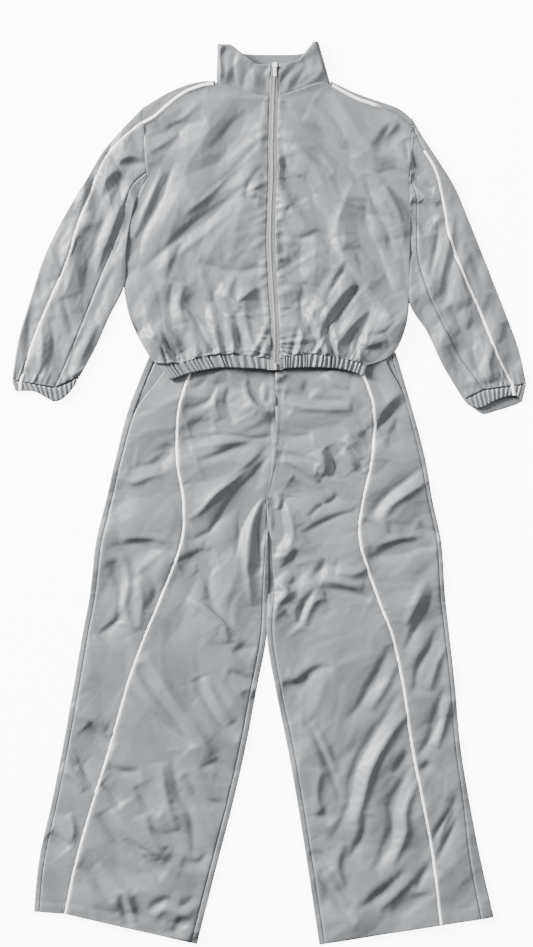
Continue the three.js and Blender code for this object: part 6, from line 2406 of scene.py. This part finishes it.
@dataclass(frozen=True)
class Lamp:
    """A square soft light aimed at the suit: its place and side in metres, and its watts."""

    name: str
    place: tuple[float, float, float]
    size: float
    power: float

    def build(self) -> None:
        """Adds the light."""
        data = bpy.data.lights.new(self.name, "AREA")
        data.shape = "SQUARE"
        data.size = self.size
        data.energy = self.power
        lamp = add_object(self.name, data)
        lamp.location = self.place
        lamp.rotation_euler = (-Vector(self.place)).to_track_quat("-Z", "Y").to_euler()


@dataclass
class Studio:
    """A pale floor, soft light from the upper left and a camera that looks straight down."""

    lamps: Sequence[Lamp] = (
        Lamp("key", (-6.2, 3.6, 3.1), 3.0, 3700.0), Lamp("fill", (2.6, 1.6, 2.0), 1.6, 90.0),
    )
    daylight: float = 0.24
    picture_height: float = 1.65725  # in metres, as seen at the cloth
    centre: tuple[float, float] = (-0.0046, 0.03515)
    distance: float = 6.0
    cloth_height: float = 0.01
    sensor: float = 36.0
    floor_half: float = 20.0
    floor_level: float = -0.0004
    floor_glow: float = 9.0

    def build(self) -> None:
        """Adds floor, lights and camera."""
        self.floor()
        for lamp in self.lamps:
            lamp.build()
        world = bpy.data.worlds.new("studio")
        world.use_nodes = True
        background = world.node_tree.nodes["Background"]
        background.inputs["Color"].default_value = (1, 1, 1, 1)
        background.inputs["Strength"].default_value = self.daylight
        bpy.context.scene.world = world
        data = bpy.data.cameras.new("camera")
        data.sensor_width = self.sensor
        data.lens = self.sensor * self.distance / self.picture_height
        camera = add_object("camera", data)
        camera.location = (*self.centre, self.distance + self.cloth_height)
        bpy.context.scene.camera = camera

    def floor(self) -> None:
        """Adds the floor: a light table, which doesn't light the cloth's edges."""
        corners = [(x * self.floor_half, y * self.floor_half, self.floor_level)
                   for x, y in ((-1, -1), (1, -1), (1, 1), (-1, 1))]
        mesh = bpy.data.meshes.new("floor")
        mesh.from_pydata(corners, [], [(0, 1, 2, 3)])
        paint = ShaderTree("floor_paint")
        paint.surface.inputs["Base Color"].default_value = (0.93, 0.93, 0.93, 1)
        paint.surface.inputs["Roughness"].default_value = 0.9
        paint.surface.inputs["Specular IOR Level"].default_value = 0.1
        paint.surface.inputs["Emission Color"].default_value = (1, 1, 1, 1)
        paint.surface.inputs["Emission Strength"].default_value = self.floor_glow
        mesh.materials.append(paint.material)
        floor = add_object("floor", mesh)
        floor.visible_diffuse = False
        floor.visible_glossy = False


def report(pieces: Iterable[bpy.types.Object]) -> None:
    """Logs each piece and its number of faces."""
    for piece in pieces:
        log.info("%s: %d faces", piece.name, len(piece.data.polygons))


def main() -> None:
    """Builds the suit, piece by piece, and the studio around it."""
    logging.basicConfig(level=logging.INFO, format="%(name)s: %(message)s")
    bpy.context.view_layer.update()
    looks = wardrobe()
    report([Waistband(looks).build()])
    report(Leg(Side.RIGHT, RIGHT_LEG, RIGHT_POCKET, RIGHT_LEG_FOLDS, looks).build())
    report(Leg(Side.LEFT, LEFT_LEG, LEFT_POCKET, LEFT_LEG_FOLDS, looks).build())
    report([JacketBack(looks).build()])
    for side in Side:
        report(JacketFront(side, JACKET_FOLDS, looks).build())
    report(Sleeve(Side.RIGHT, RIGHT_SLEEVE, RIGHT_SLEEVE_FOLDS, looks).build())
    report(Sleeve(Side.LEFT, LEFT_SLEEVE, LEFT_SLEEVE_FOLDS, looks).build())
    report(Cuff(side, looks).build() for side in Side)
    report([Collar(looks).build(), HemBand(looks).build()])
    report(Zip(looks).build())
    Studio().build()


if __name__ == "__main__":
    main()
